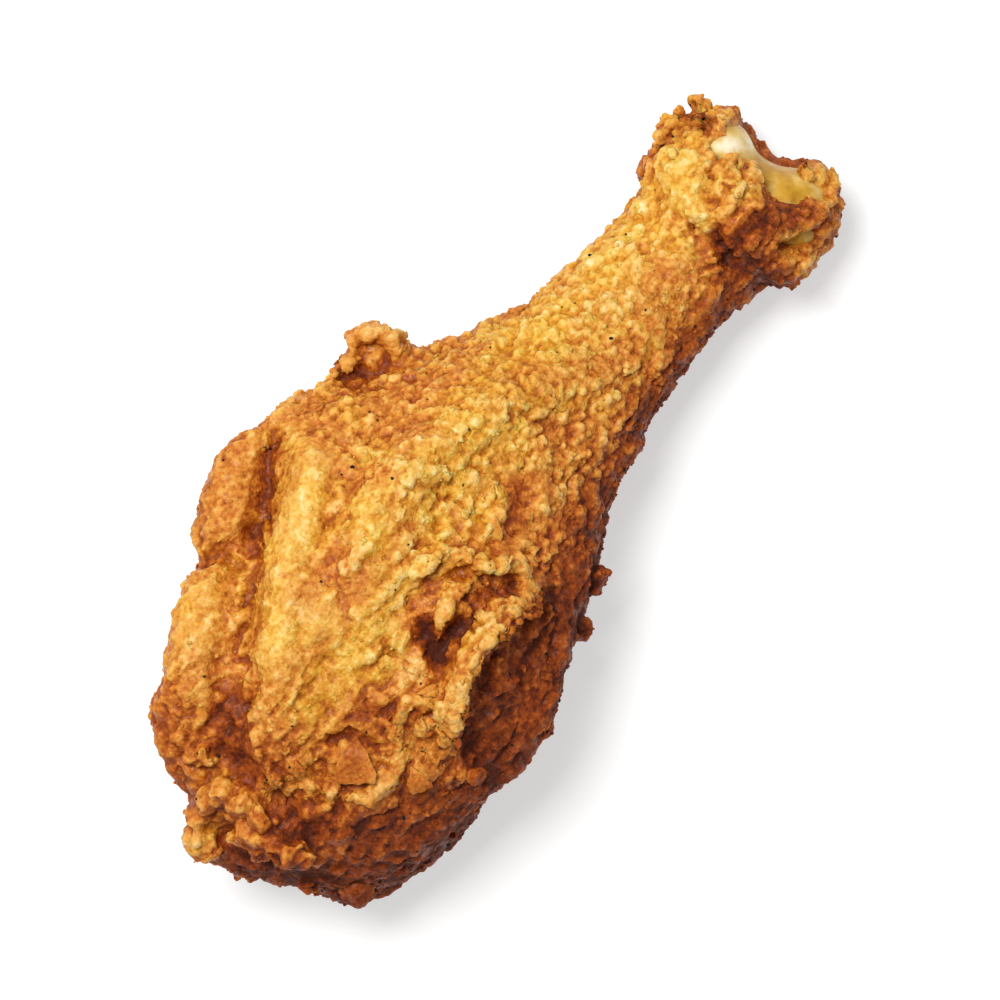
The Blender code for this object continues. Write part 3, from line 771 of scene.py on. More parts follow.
def relief_tree():
    """Geometry Nodes that turn the smooth skin into crust."""
    tree, given = new_tree("crust_relief", RELIEF)
    add = partial(add_node, tree)

    def spot_over(size, shift):
        """The point's place divided by a size in mm, so that a texture of scale 1 has that size."""
        shrink = add("ShaderNodeMath", {0: 1 / MM, 1: size}, operation="DIVIDE")
        scaled = add("ShaderNodeVectorMath", {0: add("GeometryNodeInputPosition"), "Scale": shrink},
                     operation="SCALE")
        return add("ShaderNodeVectorMath", {0: scaled, 1: shift}, operation="ADD")

    def bent_spot(size, shift):
        """The same, bent by noise, so that the borders of cells aren't straight."""
        wide = add("ShaderNodeMath", {0: size, 1: 0.8}, operation="MULTIPLY")
        noise = add("ShaderNodeTexNoise", {"Vector": spot_over(wide, (7.1, 3.3, 9.2)), "Scale": 1.0,
                                           "Detail": 1.0})
        return add("ShaderNodeVectorMath",
                   {0: noise.outputs["Color"], 1: (CELL_BEND,) * 3, 2: spot_over(size, shift)},
                   operation="MULTIPLY_ADD")

    def domes(cell, reach):
        """A round bump over each cell, from 0 at its border to 1 in its middle."""
        away = add("ShaderNodeMath", {0: cell.outputs["Distance"], 1: reach}, operation="DIVIDE",
                   use_clamp=True)
        round_off = add("ShaderNodeMath", {0: away, 1: 2.0}, operation="POWER")
        return add("ShaderNodeMath", {0: 1.0, 1: round_off}, operation="SUBTRACT")

    def pushed(geometry, height):
        """Moves points along their normals by a height in mm."""
        metres = add("ShaderNodeMath", {0: height, 1: MM}, operation="MULTIPLY")
        offset = add("ShaderNodeVectorMath", {0: add("GeometryNodeInputNormal"), "Scale": metres},
                     operation="SCALE")
        return add("GeometryNodeSetPosition", {"Geometry": geometry, "Offset": offset})

    def sheared(geometry, size, shift, amount):
        """Moves points any way by smooth noise, so that bumps lean and overhang."""
        noise = add("ShaderNodeTexNoise", {"Vector": spot_over(size, shift), "Scale": 1.0, "Detail": 2.0})
        centred = add("ShaderNodeVectorMath", {0: noise.outputs["Color"], 1: (0.5, 0.5, 0.5)},
                      operation="SUBTRACT")
        metres = add("ShaderNodeMath", {0: amount, 1: 2 * MM}, operation="MULTIPLY")
        offset = add("ShaderNodeVectorMath", {0: centred, "Scale": metres}, operation="SCALE")
        return add("GeometryNodeSetPosition", {"Geometry": geometry, "Offset": offset})

    mask = {name: add("GeometryNodeInputNamedAttribute", {"Name": name},
                      data_type="FLOAT").outputs["Attribute"]
            for name in ("crease", "bulge", "smooth", "crag", "crisp", "grain", "browned", "bare")}
    # Smooth bands, the browned and shaded parts and thin ridges are less rough.
    less = {name: add("ShaderNodeMath", {0: mask[name], 1: -share, 2: 1.0}, operation="MULTIPLY_ADD")
            for name, share in (("smooth", 0.8), ("browned", 0.55), ("crisp", 0.5))}
    rough = less["smooth"]
    for name in ("browned", "crisp"):
        rough = add("ShaderNodeMath", {0: rough, 1: less[name]}, operation="MULTIPLY")
    covered = add("ShaderNodeMath", {0: 1.0, 1: mask["bare"]}, operation="SUBTRACT", use_clamp=True)
    craggy = add("ShaderNodeMath", {0: mask["crag"], 1: 0.8, 2: 0.32}, operation="MULTIPLY_ADD")
    craggy = add("ShaderNodeMath", {0: craggy, 1: rough}, operation="MULTIPLY", use_clamp=True)
    grainy = add("ShaderNodeMath", {0: mask["grain"], 1: 0.6, 2: 0.5}, operation="MULTIPLY_ADD")
    grainy = add("ShaderNodeMath", {0: mask["crisp"], 1: 0.3, 2: grainy}, operation="MULTIPLY_ADD")
    grainy = add("ShaderNodeMath", {0: grainy, 1: less["browned"]}, operation="MULTIPLY")
    grainy = add("ShaderNodeMath", {0: mask["smooth"], 1: -0.3, 2: grainy}, operation="MULTIPLY_ADD",
                 use_clamp=True)

    # Wide swells, sunken creases, and the bare patches, where the crust dips under the cartilage.
    noise = add("ShaderNodeTexNoise", {"Vector": spot_over(given["Swell Size"], (3.7, 1.2, 8.8)),
                                       "Scale": 1.0})
    swell = add("ShaderNodeMath", {0: noise, 1: 0.5}, operation="SUBTRACT")
    for factor in (3.0, given["Swell Height"]):
        swell = add("ShaderNodeMath", {0: swell, 1: factor}, operation="MULTIPLY")
    sunken = add("ShaderNodeMath", {0: mask["crease"], 1: given["Crease Depth"]}, operation="MULTIPLY")
    sunken = add("ShaderNodeMath", {0: mask["bare"], 1: given["Bare Depth"], 2: sunken},
                 operation="MULTIPLY_ADD")
    first = add("ShaderNodeMath", {0: swell, 1: sunken}, operation="SUBTRACT")
    first = add("ShaderNodeMath", {0: mask["bulge"], 1: given["Bulge Height"], 2: first},
                operation="MULTIPLY_ADD")

    # Folds: soft cushions that run lengthwise, with narrow valleys between them.
    lengthwise = add("ShaderNodeVectorMath",
                     {0: spot_over(given["Fold Size"], (0.3, 6.6, 2.0)), 1: FOLD_STRETCH},
                     operation="MULTIPLY")
    noise = add("ShaderNodeTexNoise", {"Vector": lengthwise, "Scale": 1.0, "Detail": 2.0, "Distortion": 0.5})
    valley = add("ShaderNodeMath", {0: noise, 1: 0.5}, operation="SUBTRACT")
    valley = add("ShaderNodeMath", {0: valley}, operation="ABSOLUTE")
    cushion = add("ShaderNodeMapRange", {"Value": valley, "From Max": 0.18, "To Min": -0.5, "To Max": 0.5},
                  interpolation_type="SMOOTHSTEP").outputs["Result"]
    deep = add("ShaderNodeMath", {0: mask["smooth"], 1: -0.6, 2: 1.0}, operation="MULTIPLY_ADD")
    for factor in (given["Fold Height"], covered):
        deep = add("ShaderNodeMath", {0: deep, 1: factor}, operation="MULTIPLY")
    first = add("ShaderNodeMath", {0: cushion, 1: deep, 2: first}, operation="MULTIPLY_ADD")
    geometry = pushed(given["Geometry"], first)

    # Crags: crests of ridged noise.
    crest = add("ShaderNodeTexNoise",
                {"Vector": spot_over(given["Crag Size"], (11.3, 5.9, 2.4)), "Scale": 1.0, "Detail": 3.0,
                 "Roughness": 0.55}, noise_type="RIDGED_MULTIFRACTAL", normalize=True)
    crag = add("ShaderNodeMath", {0: crest, 1: 0.45}, operation="SUBTRACT")
    crag = add("ShaderNodeMath", {0: crag, 1: given["Crag Height"]}, operation="MULTIPLY")

    # Plates: cells that each slope their own way, so that they step up or down where they meet.
    bent = bent_spot(given["Plate Size"], (1.9, 6.1, 4.4))
    plate = add("ShaderNodeTexVoronoi", {"Vector": bent, "Scale": 1.0})
    tilt = add("ShaderNodeVectorMath", {0: plate.outputs["Color"], 1: (0.5, 0.5, 0.5)}, operation="SUBTRACT")
    reach = add("ShaderNodeVectorMath", {0: bent, 1: plate.outputs["Position"]}, operation="SUBTRACT")
    slope = add("ShaderNodeVectorMath", {0: tilt, 1: reach}, operation="DOT_PRODUCT").outputs["Value"]
    slope = add("ShaderNodeMath", {0: slope, 1: 3.2}, operation="MULTIPLY")
    torn = add("ShaderNodeMath", {0: slope, 1: given["Plate Height"], 2: crag}, operation="MULTIPLY_ADD")
    for factor in (craggy, covered):
        torn = add("ShaderNodeMath", {0: torn, 1: factor}, operation="MULTIPLY")
    lean = add("ShaderNodeMath", {0: given["Shear"], 1: craggy}, operation="MULTIPLY")
    geometry = sheared(pushed(geometry, torn), 3.4, (2.2, 9.9, 5.1), lean)

    # Nubs of batter in the craggy parts, grains of flour, and a fine roughness all over.
    cell = add("ShaderNodeTexVoronoi", {"Vector": bent_spot(given["Nub Size"], (8.3, 2.7, 0.6)), "Scale": 1.0,
                                        "Smoothness": 0.35}, feature="SMOOTH_F1")
    nub = domes(cell, 0.62)
    for factor in (given["Nub Height"], craggy):
        nub = add("ShaderNodeMath", {0: nub, 1: factor}, operation="MULTIPLY")
    cell = add("ShaderNodeTexVoronoi", {"Vector": bent_spot(given["Grain Size"], (5.5, 5.1, 7.7)),
                                        "Scale": 1.0})
    own = add("FunctionNodeSeparateColor", {0: cell.outputs["Color"]}).outputs
    grain = add("ShaderNodeMath", {0: own[0], 1: 0.9, 2: 0.25}, operation="MULTIPLY_ADD")
    for factor in (domes(cell, 0.68), given["Grain Height"]):
        grain = add("ShaderNodeMath", {0: grain, 1: factor}, operation="MULTIPLY")
    small = add("ShaderNodeMath", {0: grain, 1: grainy, 2: nub}, operation="MULTIPLY_ADD")
    noise = add("ShaderNodeTexNoise", {"Vector": spot_over(given["Fine Size"], (4.2, 0.8, 3.1)), "Scale": 1.0,
                                       "Roughness": 0.6})
    fine = add("ShaderNodeMath", {0: noise, 1: 4.0, 2: -2.0}, operation="MULTIPLY_ADD")
    small = add("ShaderNodeMath", {0: fine, 1: given["Fine Height"], 2: small}, operation="MULTIPLY_ADD")
    small = add("ShaderNodeMath", {0: small, 1: covered}, operation="MULTIPLY")
    lean = add("ShaderNodeMath", {0: given["Shear"], 1: 0.45}, operation="MULTIPLY")
    geometry = sheared(pushed(geometry, small), 1.5, (6.4, 1.1, 2.9), lean)

    def stands_out(rounds):
        """How far a point stands out from its surroundings, in mm. More rounds of blurring look wider."""
        around = add("GeometryNodeBlurAttribute",
                     {"Value": add("GeometryNodeInputPosition"), "Iterations": rounds},
                     data_type="FLOAT_VECTOR")
        apart = add("ShaderNodeVectorMath", {0: add("GeometryNodeInputPosition"), 1: around},
                    operation="SUBTRACT")
        out = add("ShaderNodeVectorMath", {0: apart, 1: add("GeometryNodeInputNormal")},
                  operation="DOT_PRODUCT")
        return add("ShaderNodeMath", {0: out.outputs["Value"], 1: MM}, operation="DIVIDE")

    # What the colours read: how far a point stands out, from about -1 to 1, which they turn into painted shade
    # in hollows and painted light on what stands out, and each grain's own tone.
    height = add("ShaderNodeMath", {0: stands_out(given["Near Rounds"]), 1: 2.6}, operation="MULTIPLY")
    height = add("ShaderNodeMath", {0: stands_out(given["Wide Rounds"]), 1: 0.4, 2: height},
                 operation="MULTIPLY_ADD")
    height = add("ShaderNodeClamp", {"Value": height, "Min": -1.0, "Max": 1.0})
    # How far the surface faces up, blurred wide: the colours turn it into painted light on top.
    up = add("ShaderNodeSeparateXYZ", {0: add("GeometryNodeInputNormal")}).outputs["Z"]
    up = add("GeometryNodeBlurAttribute", {"Value": up, "Iterations": given["Wide Rounds"]},
             data_type="FLOAT")
    for name, value in (("height", height), ("tone", own[1]), ("facing_up", up)):
        geometry = add("GeometryNodeStoreNamedAttribute",
                       {"Geometry": geometry, "Name": name, "Value": value},
                       data_type="FLOAT", domain="POINT")
    add("NodeGroupOutput", {0: add("GeometryNodeSetShadeSmooth", {"Geometry": geometry})})
    return tree


tree = relief_tree()
print("relief tree:", len(tree.nodes), "nodes")

# %% [markdown]
# ## Bake the relief into a mesh
# The modifier's inputs are set by their identifiers, because two inputs of a tree may share a name. The
# result is turned into a plain mesh. It has too many triangles to keep, and most of them lie where nobody
# looks, so a Decimate modifier thins it, with a weight that spares the top.

# %% Bake and thin out the crust
CRUST_TRIANGLES = 190_000
THIN_BANDS = 4  # bands of height, each thinned less than the one below
THIN_BAND = 6  # how high a band is, in mm; the last one takes in all that is above it

crust_item = with_nodes(add_object("crust", skin), tree, RELIEF)
crust_mesh = finished_mesh(crust_item, "crust")
spots = lift_off_floor(crust_mesh)
print("crust before thinning:", triangles(crust_mesh), "triangles")

crust_item = add_object("crust", crust_mesh)
spare = crust_item.vertex_groups.new(name="may_thin")
bands = np.minimum(spots[:, 2] // THIN_BAND, THIN_BANDS - 1)
for band in range(THIN_BANDS):
    spare.add(np.nonzero(bands == band)[0].tolist(), 1 - (band + 1) / (THIN_BANDS + 1), "REPLACE")
thin = crust_item.modifiers.new("thin", "DECIMATE")
thin.ratio = CRUST_TRIANGLES / triangles(crust_mesh)
thin.vertex_group = "may_thin"
thin.vertex_group_factor = 1.0
crust_mesh = finished_mesh(crust_item, "crust")
print("crust:", triangles(crust_mesh), "triangles")

# %% [markdown]
# ## The crust's finish
# The material is deep-fried seasoned flour coating: dry starch that browned from pale straw to dark caramel,
# with a thin film of oil. Its colour follows its shape, partly from frying and partly as painted light and
# shade: what stands out and what faces up are painted paler and crisp, what sinks in darker, and folds,
# hollows and the side away from the lamp are both browned and painted darker. It could be painted by hand.
# Here one number for each place, how well done it is with that painted light and shade in it, is added up from
# the relief, the masks and some noise, and a colour ramp turns it into colour. Oil gives small glints, so the
# roughness changes over a few tenths of a millimetre, and a little light goes into the starch.

# %% Material of the crust
def new_material(name, settings):
    """A material with nodes, its tree, and its Principled shader with some of its inputs set."""
    material = bpy.data.materials.new(name)
    material.use_nodes = True
    shader = material.node_tree.nodes["Principled BSDF"]
    for key, value in settings.items():
        shader.inputs[key].default_value = value
    return material, material.node_tree, shader


def place_in_mm(add):
    """The shaded point's place in millimetres."""
    return add("ShaderNodeMapping", {"Vector": add("ShaderNodeTexCoord").outputs["Object"],
                                     "Scale": (1 / MM,) * 3})


def fill_ramp(ramp, stops):
    """Sets a colour ramp's stops from (place, hex colour) pairs."""
    elements = ramp.color_ramp.elements
    while len(elements) > 1:
        elements.remove(elements[-1])
    elements[0].position, elements[0].color = stops[0][0], to_linear(stops[0][1])
    for where, colour in stops[1:]:
        elements.new(where).color = to_linear(colour)


# From burnt crumbs and painted shade to dry flour and painted light, by how well done the place is with its
# painted light and shade: 0 is darkest. The second row is for the parts that kept more dry flour, which are
# yellower.
BROWNED_AND_SHADED_COLOURS = (
    (0.00, "#4E1A04"),
    (0.16, "#7A3004"),
    (0.34, "#9E4A0A"),
    (0.52, "#C67724"),
    (0.70, "#DA9E46"),
    (0.88, "#E6BE74"),
    (1.00, "#F0D8A4"),
)
GOLDEN_COLOURS = (
    (0.00, "#5C2204"),
    (0.16, "#8E4406"),
    (0.34, "#B86E12"),
    (0.52, "#D69828"),
    (0.70, "#E3B955"),
    (0.88, "#EDD290"),
    (1.00, "#F4E4C0"),
)


def crust_material():
    """Deep-fried seasoned flour coating."""
    material, tree, shader = new_material("deep_fried_flour_coating", {
        "IOR": 1.45, "Specular IOR Level": 0.28, "Coat Weight": 0.05, "Coat Roughness": 0.22,
        "Subsurface Weight": 0.5, "Subsurface Radius": (1.0, 0.40, 0.12), "Subsurface Scale": 1.2 * MM,
    })
    add = partial(add_node, tree)
    place_mm = place_in_mm(add)
    mask = {name: add("ShaderNodeAttribute", attribute_name=name).outputs["Fac"]
            for name in ("height", "tone", "facing_up", "browned", "crisp", "golden")}
    blotch = add("ShaderNodeTexNoise", {"Vector": place_mm, "Scale": 1 / 8.0, "Detail": 4.0,
                                        "Roughness": 0.6})
    patch = add("ShaderNodeTexNoise", {"Vector": place_mm, "Scale": 1 / 1.9, "Detail": 3.0, "Roughness": 0.6})
    speck = add("ShaderNodeTexNoise", {"Vector": place_mm, "Scale": 1 / 0.5, "Detail": 1.0})

    # How well done a place is, with painted light and shade in it: what stands out, faces up or is crisp is
    # paler, what sinks in or is browned and shaded is darker.
    done = add("ShaderNodeMath", {0: mask["height"], 1: 0.24, 2: -0.215}, operation="MULTIPLY_ADD")
    for share, value in ((0.40, blotch), (0.36, patch), (0.34, speck), (0.12, mask["tone"]),
                         (0.18, mask["facing_up"]), (-0.47, mask["browned"]), (0.06, mask["crisp"]),
                         (0.06, mask["golden"])):
        done = add("ShaderNodeMath", {0: value, 1: share, 2: done}, operation="MULTIPLY_ADD")
    browned = add("ShaderNodeValToRGB", {0: done})
    fill_ramp(browned, BROWNED_AND_SHADED_COLOURS)
    golden = add("ShaderNodeValToRGB", {0: done})
    fill_ramp(golden, GOLDEN_COLOURS)
    drift = add("ShaderNodeTexNoise", {"Vector": place_mm, "Scale": 1 / 5.0, "Detail": 3.0})
    drift = add("ShaderNodeMath", {0: drift, 1: 3.2, 2: -1.55}, operation="MULTIPLY_ADD")
    floury = add("ShaderNodeMath", {0: mask["golden"], 1: 0.9, 2: drift}, operation="MULTIPLY_ADD")
    floury = add("ShaderNodeMath", {0: mask["browned"], 1: -1.2, 2: floury}, operation="MULTIPLY_ADD",
                 use_clamp=True)
    colour = add("ShaderNodeMix", {"Factor": floury, "A": browned, "B": golden}, data_type="RGBA")
    tree.links.new(colour.outputs["Result"], shader.inputs["Base Color"])

    grit = add("ShaderNodeTexVoronoi", {"Vector": place_mm, "Scale": 1 / 0.55})
    rough = add("ShaderNodeTexNoise", {"Vector": place_mm, "Scale": 1 / 0.32, "Detail": 2.0})
    raised = add("ShaderNodeMath", {0: grit.outputs["Distance"], 1: -0.5, 2: rough}, operation="MULTIPLY_ADD")
    bump = add("ShaderNodeBump", {"Height": raised, "Strength": 1.0, "Distance": 0.18 * MM})
    tree.links.new(bump.outputs["Normal"], shader.inputs["Normal"])
    oily = add("ShaderNodeMapRange", {"Value": mask["tone"], "From Min": 0.55, "From Max": 0.85,
                                      "To Min": 0.62, "To Max": 0.22})
    dull = add("ShaderNodeMath", {0: mask["browned"], 1: 0.3, 2: oily.outputs["Result"]},
               operation="MULTIPLY_ADD")
    tree.links.new(dull.outputs["Value"], shader.inputs["Roughness"])
    return material


coating = crust_material()
crust_mesh.materials.clear()
crust_mesh.materials.append(coating)
crust = add_object("fried_crust", crust_mesh)
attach(crust, "root")
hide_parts("coated_meat")
print("crust finish:", len(coating.node_tree.nodes), "nodes")

# %% [markdown]
# ## Crisp flakes
# Some bits of dried flour fried into thin plates that lie on the crust with an edge lifted, the largest near
# the fat end. A flake here is a bent plate with a torn outline: rings round a hub on each face, lifted a
# little at random as blisters, and thin at the rim. They lie where they lie, so they are placed one by one.
# They are the same coating, and have their own masks: a little paler in the middle and paler still at the
# rim, as painted light and a painted highlight, and painted as facing up.

# %% Place the flakes
# Place (along, across), length and width in mm, heading in degrees from +X, tilt in degrees.
FLAKES = (
    ((23.3, -10.7), 8.0, 6.8, 37, 10),
    ((26.4, -18.2), 4.8, 4.0, 60, 20),
    ((57.3, -6.4), 4.4, 3.2, 30, 18),
    ((61.4, -4.2), 3.0, 2.0, 80, 24),
    ((15.6, -14.6), 3.6, 2.2, 170, 24),
    ((36.4, -12.4), 3.4, 2.2, 140, 26),
    ((18.6, -5.4), 3.0, 1.8, 60, 26),
    ((109.8, 7.2), 2.4, 1.6, 150, 40),
    ((118.2, -11.0), 2.2, 1.4, 60, 30),
)
FLAKE_LIFT = 0.3  # how far a flake's middle stands off the crust, in mm
FLAKE_SEED = 100
FLAKE_FLATNESS = 1.5  # how strongly a flake lies level instead of following the crust's slope
FLAKE_CORNERS = 17
# The outline is a rounded triangle of reach 1: a round share, a straight-sided share, and how far it is torn.
FLAKE_ROUND, FLAKE_SIDED, FLAKE_TORN = 0.25, 0.37, 0.06
FLAKE_BLISTER = 0.16  # how far blisters lift it or dent it, in mm
# Each ring's reach as a share of the outline, and half the thickness there in mm.
FLAKE_RINGS = ((0.3, 0.34), (0.55, 0.32), (0.78, 0.28), (0.93, 0.20), (1.0, 0.08))


def add_flake(shape, seed, spot, length, width, heading, tilt):
    """Adds a bent plate with a torn outline to a bmesh, lying on the crust with its far edge lifted."""
    rng = random.Random(FLAKE_SEED + seed)
    centre, normal = on_top(crust_tree, *spot)
    normal = (normal + Vector((0, 0, FLAKE_FLATNESS))).normalized()
    forward = Vector((math.cos(math.radians(heading)), math.sin(math.radians(heading)), 0))
    forward = (forward - normal * forward.dot(normal)).normalized()
    sideways = normal.cross(forward)
    lift = Matrix.Rotation(-math.radians(tilt), 3, sideways)
    turns = [math.tau * corner / FLAKE_CORNERS for corner in range(FLAKE_CORNERS)]
    # The second term is the distance to the nearest of three straight sides.
    outline = [FLAKE_ROUND + FLAKE_SIDED / math.cos(turn % (math.tau / 3) - math.pi / 3)
               + rng.uniform(-FLAKE_TORN, FLAKE_TORN) for turn in turns]
    blisters = [[rng.uniform(-FLAKE_BLISTER, FLAKE_BLISTER) for _ in turns] for _ in FLAKE_RINGS]

    def corner_at(corner, reach, up):
        """A point of the plate, at a share of the outline's reach and a height in mm."""
        a = math.cos(turns[corner]) * outline[corner] * reach * length / 2
        b = math.sin(turns[corner]) * outline[corner] * reach * width / 2
        wave = 0.05 * (b * b - a * a) + 0.12 * math.sin(1.3 * a + seed)
        offset = forward * a + sideways * b + normal * (wave + up + FLAKE_LIFT)
        return shape.verts.new(centre + lift @ offset * MM)

    for side in (1, -1):
        rings = [[corner_at(corner, reach, side * thick + bumps[corner]) for corner in range(FLAKE_CORNERS)]
                 for (reach, thick), bumps in zip(FLAKE_RINGS, blisters)]
        hub = corner_at(0, 0.0, side * FLAKE_RINGS[0][1])
        for corner in range(FLAKE_CORNERS):
            beside = (corner + 1) % FLAKE_CORNERS
            shape.faces.new((hub, rings[0][corner], rings[0][beside]))
            for inner, outer in zip(rings, rings[1:]):
                shape.faces.new((inner[corner], outer[corner], outer[beside], inner[beside]))
        if side == 1:
            upper_rim = rings[-1]
    for corner in range(FLAKE_CORNERS):
        beside = (corner + 1) % FLAKE_CORNERS
        shape.faces.new((upper_rim[corner], rings[-1][corner], rings[-1][beside], upper_rim[beside]))


crust_tree = search_tree(crust_mesh)
flake_shape = bmesh.new()
for number, flake in enumerate(FLAKES):
    add_flake(flake_shape, number, *flake)
bmesh.ops.recalc_face_normals(flake_shape, faces=flake_shape.faces)
flake_mesh = as_mesh(flake_shape, "crisp_flakes")
flake_mesh.shade_smooth()
mask_out(flake_mesh)
corners = np.arange(len(flake_mesh.vertices)) % (len(FLAKE_RINGS) * FLAKE_CORNERS + 1)
rim = (corners // FLAKE_CORNERS) == len(FLAKE_RINGS) - 1
# Painted light on the flakes: a little paler in the middle, paler still at the rim as a painted highlight, and
# painted as facing up.
for name, inside, at_rim in (("height", 0.25, 0.75), ("tone", 0.4, 0.4), ("facing_up", 0.8, 0.8)):
    store(flake_mesh, name, np.where(rim, at_rim, inside))
flake_mesh.materials.append(coating)
flakes = add_object("crisp_flakes", flake_mesh)
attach(flakes, "root")
print("flakes:", len(FLAKES), "with", triangles(flake_mesh), "triangles")

# %% [markdown]
# ## The knuckle
# The knuckle is the bone's end under a cap of cartilage: smooth, moist, cream to yellow. It is the solid
# itself, melted a little finer, because what is bare of it looks polished. It lies as the solid does, and the
# crust around it, whose bare patches dip under its surface, covers the rest.

# %% The knuckle
KNUCKLE_GRID = 0.5 * MM
KNUCKLE_SMOOTHING = 10
KNUCKLE_INSET = 0.2 * MM

knuckle_mesh = melted(welded_copy("knuckle"), "knuckle_cartilage", KNUCKLE_GRID, KNUCKLE_SMOOTHING,
                      KNUCKLE_INSET)
knuckle_mesh.shade_smooth()
store(knuckle_mesh, "cream", masks_of(knuckle_mesh)["cream"])


def cartilage_material():
    """Cooked cartilage over bone: translucent, moist, cream to yellow in cloudy patches."""
    material, tree, shader = new_material("cooked_cartilage", {
        "Roughness": 0.3, "IOR": 1.42, "Specular IOR Level": 0.3,
        "Subsurface Weight": 0.25, "Subsurface Radius": (1.0, 0.7, 0.35), "Subsurface Scale": 1.5 * MM,
    })
    add = partial(add_node, tree)
    place_mm = place_in_mm(add)
    cloud = add("ShaderNodeTexNoise", {"Vector": place_mm, "Scale": 1 / 3.4, "Detail": 3.0,
                                       "Roughness": 0.55})
    cream = add("ShaderNodeAttribute", attribute_name="cream").outputs["Fac"]
    colour = add("ShaderNodeValToRGB", {0: add("ShaderNodeMath", {0: cream, 1: 0.4, 2: cloud},
                                               operation="MULTIPLY_ADD")})
    fill_ramp(colour, ((0.30, "#8A5C12"), (0.44, "#AE7E20"), (0.58, "#C49632"), (0.80, "#DDBE72"),
                       (1.0, "#F4E8CC")))
    tree.links.new(colour.outputs["Color"], shader.inputs["Base Color"])
    dimple = add("ShaderNodeTexNoise", {"Vector": place_mm, "Scale": 1 / 1.1, "Detail": 2.0})
    bump = add("ShaderNodeBump", {"Height": dimple, "Strength": 0.35, "Distance": 0.25 * MM})
    tree.links.new(bump.outputs["Normal"], shader.inputs["Normal"])
    return material


knuckle_mesh.materials.clear()
knuckle_mesh.materials.append(cartilage_material())
knuckle = add_object("knuckle_cartilage", knuckle_mesh)
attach(knuckle, "root")
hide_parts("knuckle")
print("knuckle:", triangles(knuckle_mesh), "triangles")

# %% [markdown]
# ## Loose bits on the crust
# What the oil left on top is too fine for the crust's own mesh: grains of fried flour from a third of a
# millimetre up, crumbs, thin chips, and specks of ground pepper. Each kind is one piece, scattered over the
# finished crust and sunk into it. Grains, crumbs and chips are the same coating, so they share its material,
# and read the masks of the place that they lie on.

# %% Scatter the bits
GRAINS = {"Per Square cm": 85.0, "Mask Share": 0.4, "Base Share": 0.6, "Cluster Size": 4.0, "Smallest": 0.3,
          "Largest": 0.85, "Sink": 0.10, "Paler": 0.10, "Tumble": 3.1, "Bend": 0.22, "Bend Size": 0.6,
          "Seed": 11}
CRUMBS = {"Per Square cm": 5.0, "Mask Share": 0.9, "Base Share": 0.25, "Cluster Size": 5.0, "Smallest": 0.7,
          "Largest": 1.6, "Sink": 0.34, "Paler": 0.06, "Tumble": 3.1, "Bend": 0.5, "Bend Size": 0.9,
          "Seed": 12}
CHIPS = {"Per Square cm": 5.0, "Mask Share": 0.9, "Base Share": 0.2, "Cluster Size": 6.0, "Smallest": 0.8,
         "Largest": 2.4, "Sink": 0.05, "Paler": 0.16, "Tumble": 0.9, "Bend": 0.6, "Bend Size": 1.6,
         "Seed": 13}
PEPPER = {"Per Square cm": 1.7, "Mask Share": 0.1, "Base Share": 0.9, "Cluster Size": 9.0, "Smallest": 0.35,
          "Largest": 0.7, "Sink": 0.0, "Paler": 0.0, "Tumble": 3.1, "Bend": 0.15, "Bend Size": 0.6,
          "Seed": 14}


def pepper_material():
    """Ground black pepper: hull flecks, nearly black, dull."""
    material, tree, shader = new_material("ground_black_pepper",
                                          {"Roughness": 0.7, "Specular IOR Level": 0.25})
    add = partial(add_node, tree)
    tone = add("ShaderNodeAttribute", attribute_name="tone").outputs["Fac"]
    colour = add("ShaderNodeValToRGB", {0: tone})
    fill_ramp(colour, ((0.0, "#0C0704"), (0.7, "#1E1209"), (1.0, "#3A2410")))
    tree.links.new(colour.outputs["Color"], shader.inputs["Base Color"])
    return material


for name, mask_name, bit, sizes, material in (
    ("flour_grains", "grain", grain_bit, GRAINS, coating),
    ("crisp_crumbs", "crag", nub_bit, CRUMBS, coating),
    ("crisp_chips", "crag", chip_bit, CHIPS, coating),
    ("pepper_specks", "smooth", grain_bit, PEPPER, pepper_material()),
):
    mesh = scattered(name, crust_mesh, mask_name, bit, sizes, material)
    lift_off_floor(mesh)
    piece = add_object(name, mesh)
    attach(piece, "root")
    print(f"{name}: {triangles(mesh)} triangles")

# %% [markdown]
# ## Table, light and camera
# The piece lies on a plain white light table, a sheet of acrylic lit faintly from below, which keeps the
# shadow soft and pale. One large soft lamp hangs high on the hook side, with pale light all round to fill the
# shade. The camera looks straight down, turned so that the knuckle points up and to the right.

# %% Table, light and camera
TABLE_SIZE = 4
SHOT_HEIGHT = 0.85  # the camera's height above the table, in metres
SHOT_ROLL = math.radians(-52.5)
FILLED = 0.82  # the share of the picture that the drumstick fills
KEY_SIZE = 0.4
KEY_DISTANCE = 1.1
KEY_ELEVATION = math.radians(70)
KEY_HEADING = math.radians(136)  # in the picture: anticlockwise from its right side
KEY_POWER = 12.4
SKY_POWER = 0.38

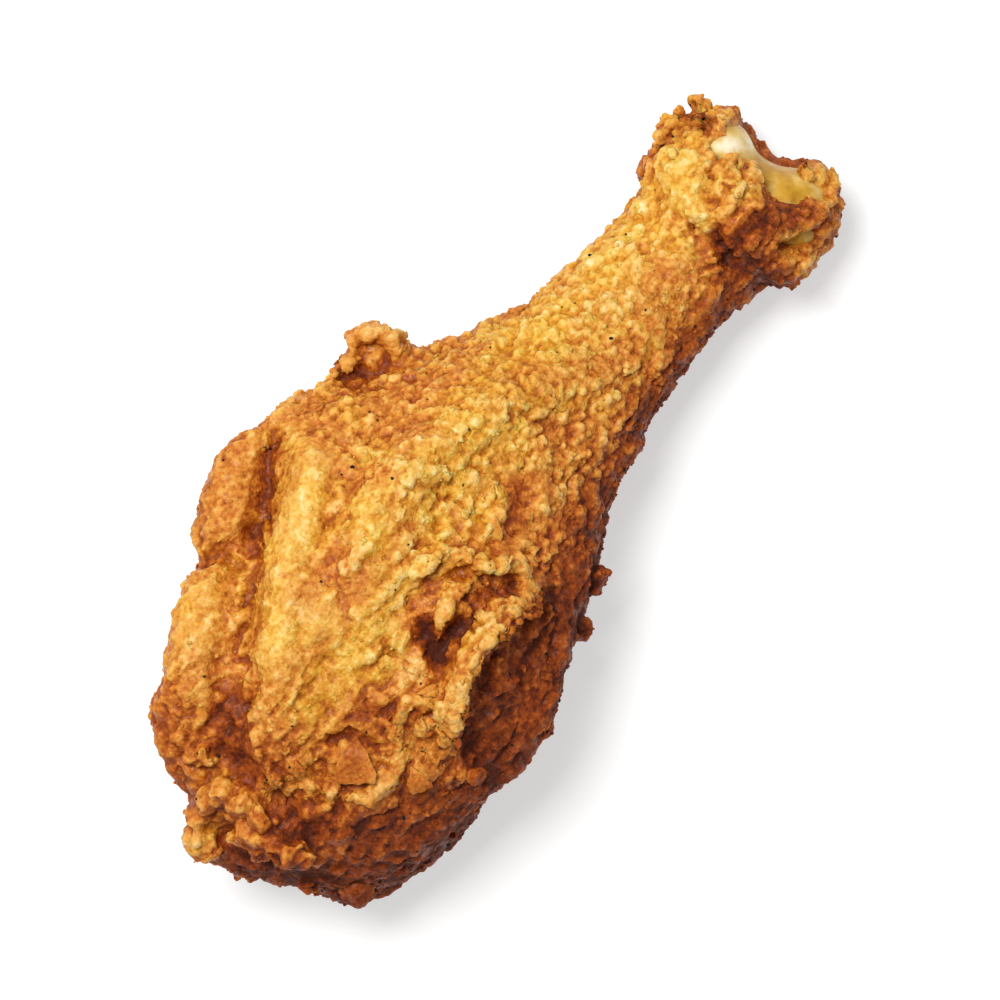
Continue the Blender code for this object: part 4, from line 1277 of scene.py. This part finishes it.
bpy.ops.mesh.primitive_plane_add(size=TABLE_SIZE)
floor = bpy.context.active_object
floor.name = "table"
acrylic = new_material("lit_white_acrylic", {
    "Base Color": to_linear("#C4C3C2"), "Roughness": 0.9,
    "Emission Color": to_linear("#FFFFFF"), "Emission Strength": 0.5,
})[0]
floor.data.materials.append(acrylic)

right = Vector((math.cos(SHOT_ROLL), math.sin(SHOT_ROLL), 0))
upward = Vector((-math.sin(SHOT_ROLL), math.cos(SHOT_ROLL), 0))
spots = coordinates(crust_mesh) * MM
reaches = [spots @ np.array(axis) for axis in (right, upward)]
spans = [(float(reach.min()), float(reach.max())) for reach in reaches]
middle = sum((axis * (low + high) / 2 for axis, (low, high) in zip((right, upward), spans)), Vector())
shot_width = max(high - low for low, high in spans) / FILLED

lens = bpy.data.cameras.new("camera")
lens.sensor_width = 36
lens.lens = lens.sensor_width * (SHOT_HEIGHT - cad_high.z / 2) / shot_width
camera = add_object("camera", lens)
camera.location = middle + Vector((0, 0, SHOT_HEIGHT))
camera.rotation_euler = (0, 0, SHOT_ROLL)
bpy.context.scene.camera = camera

towards = (right * math.cos(KEY_HEADING) + upward * math.sin(KEY_HEADING)) * math.cos(KEY_ELEVATION)
towards += Vector((0, 0, math.sin(KEY_ELEVATION)))
lamp = bpy.data.lights.new("key", "AREA")
lamp.energy = KEY_POWER
lamp.size = KEY_SIZE
key = add_object("key", lamp)
key.location = towards * KEY_DISTANCE
key.rotation_euler = (-towards).to_track_quat("-Z", "Y").to_euler()

world = bpy.data.worlds.new("pale_room")
world.use_nodes = True
sky = world.node_tree.nodes["Background"].inputs
sky["Color"].default_value = to_linear("#FFFFFF")
sky["Strength"].default_value = SKY_POWER
bpy.context.scene.world = world
bpy.context.scene.view_settings.view_transform = "Standard"
print("picture width in mm:", round(shot_width / MM, 1))

# %% [markdown]
# ## Sizes and the end
# The solids' box is printed once more.

# %% Write the sizes and finish
print("solids in mm:", [round(v / MM, 1) for v in (*cad_low, *cad_high)])
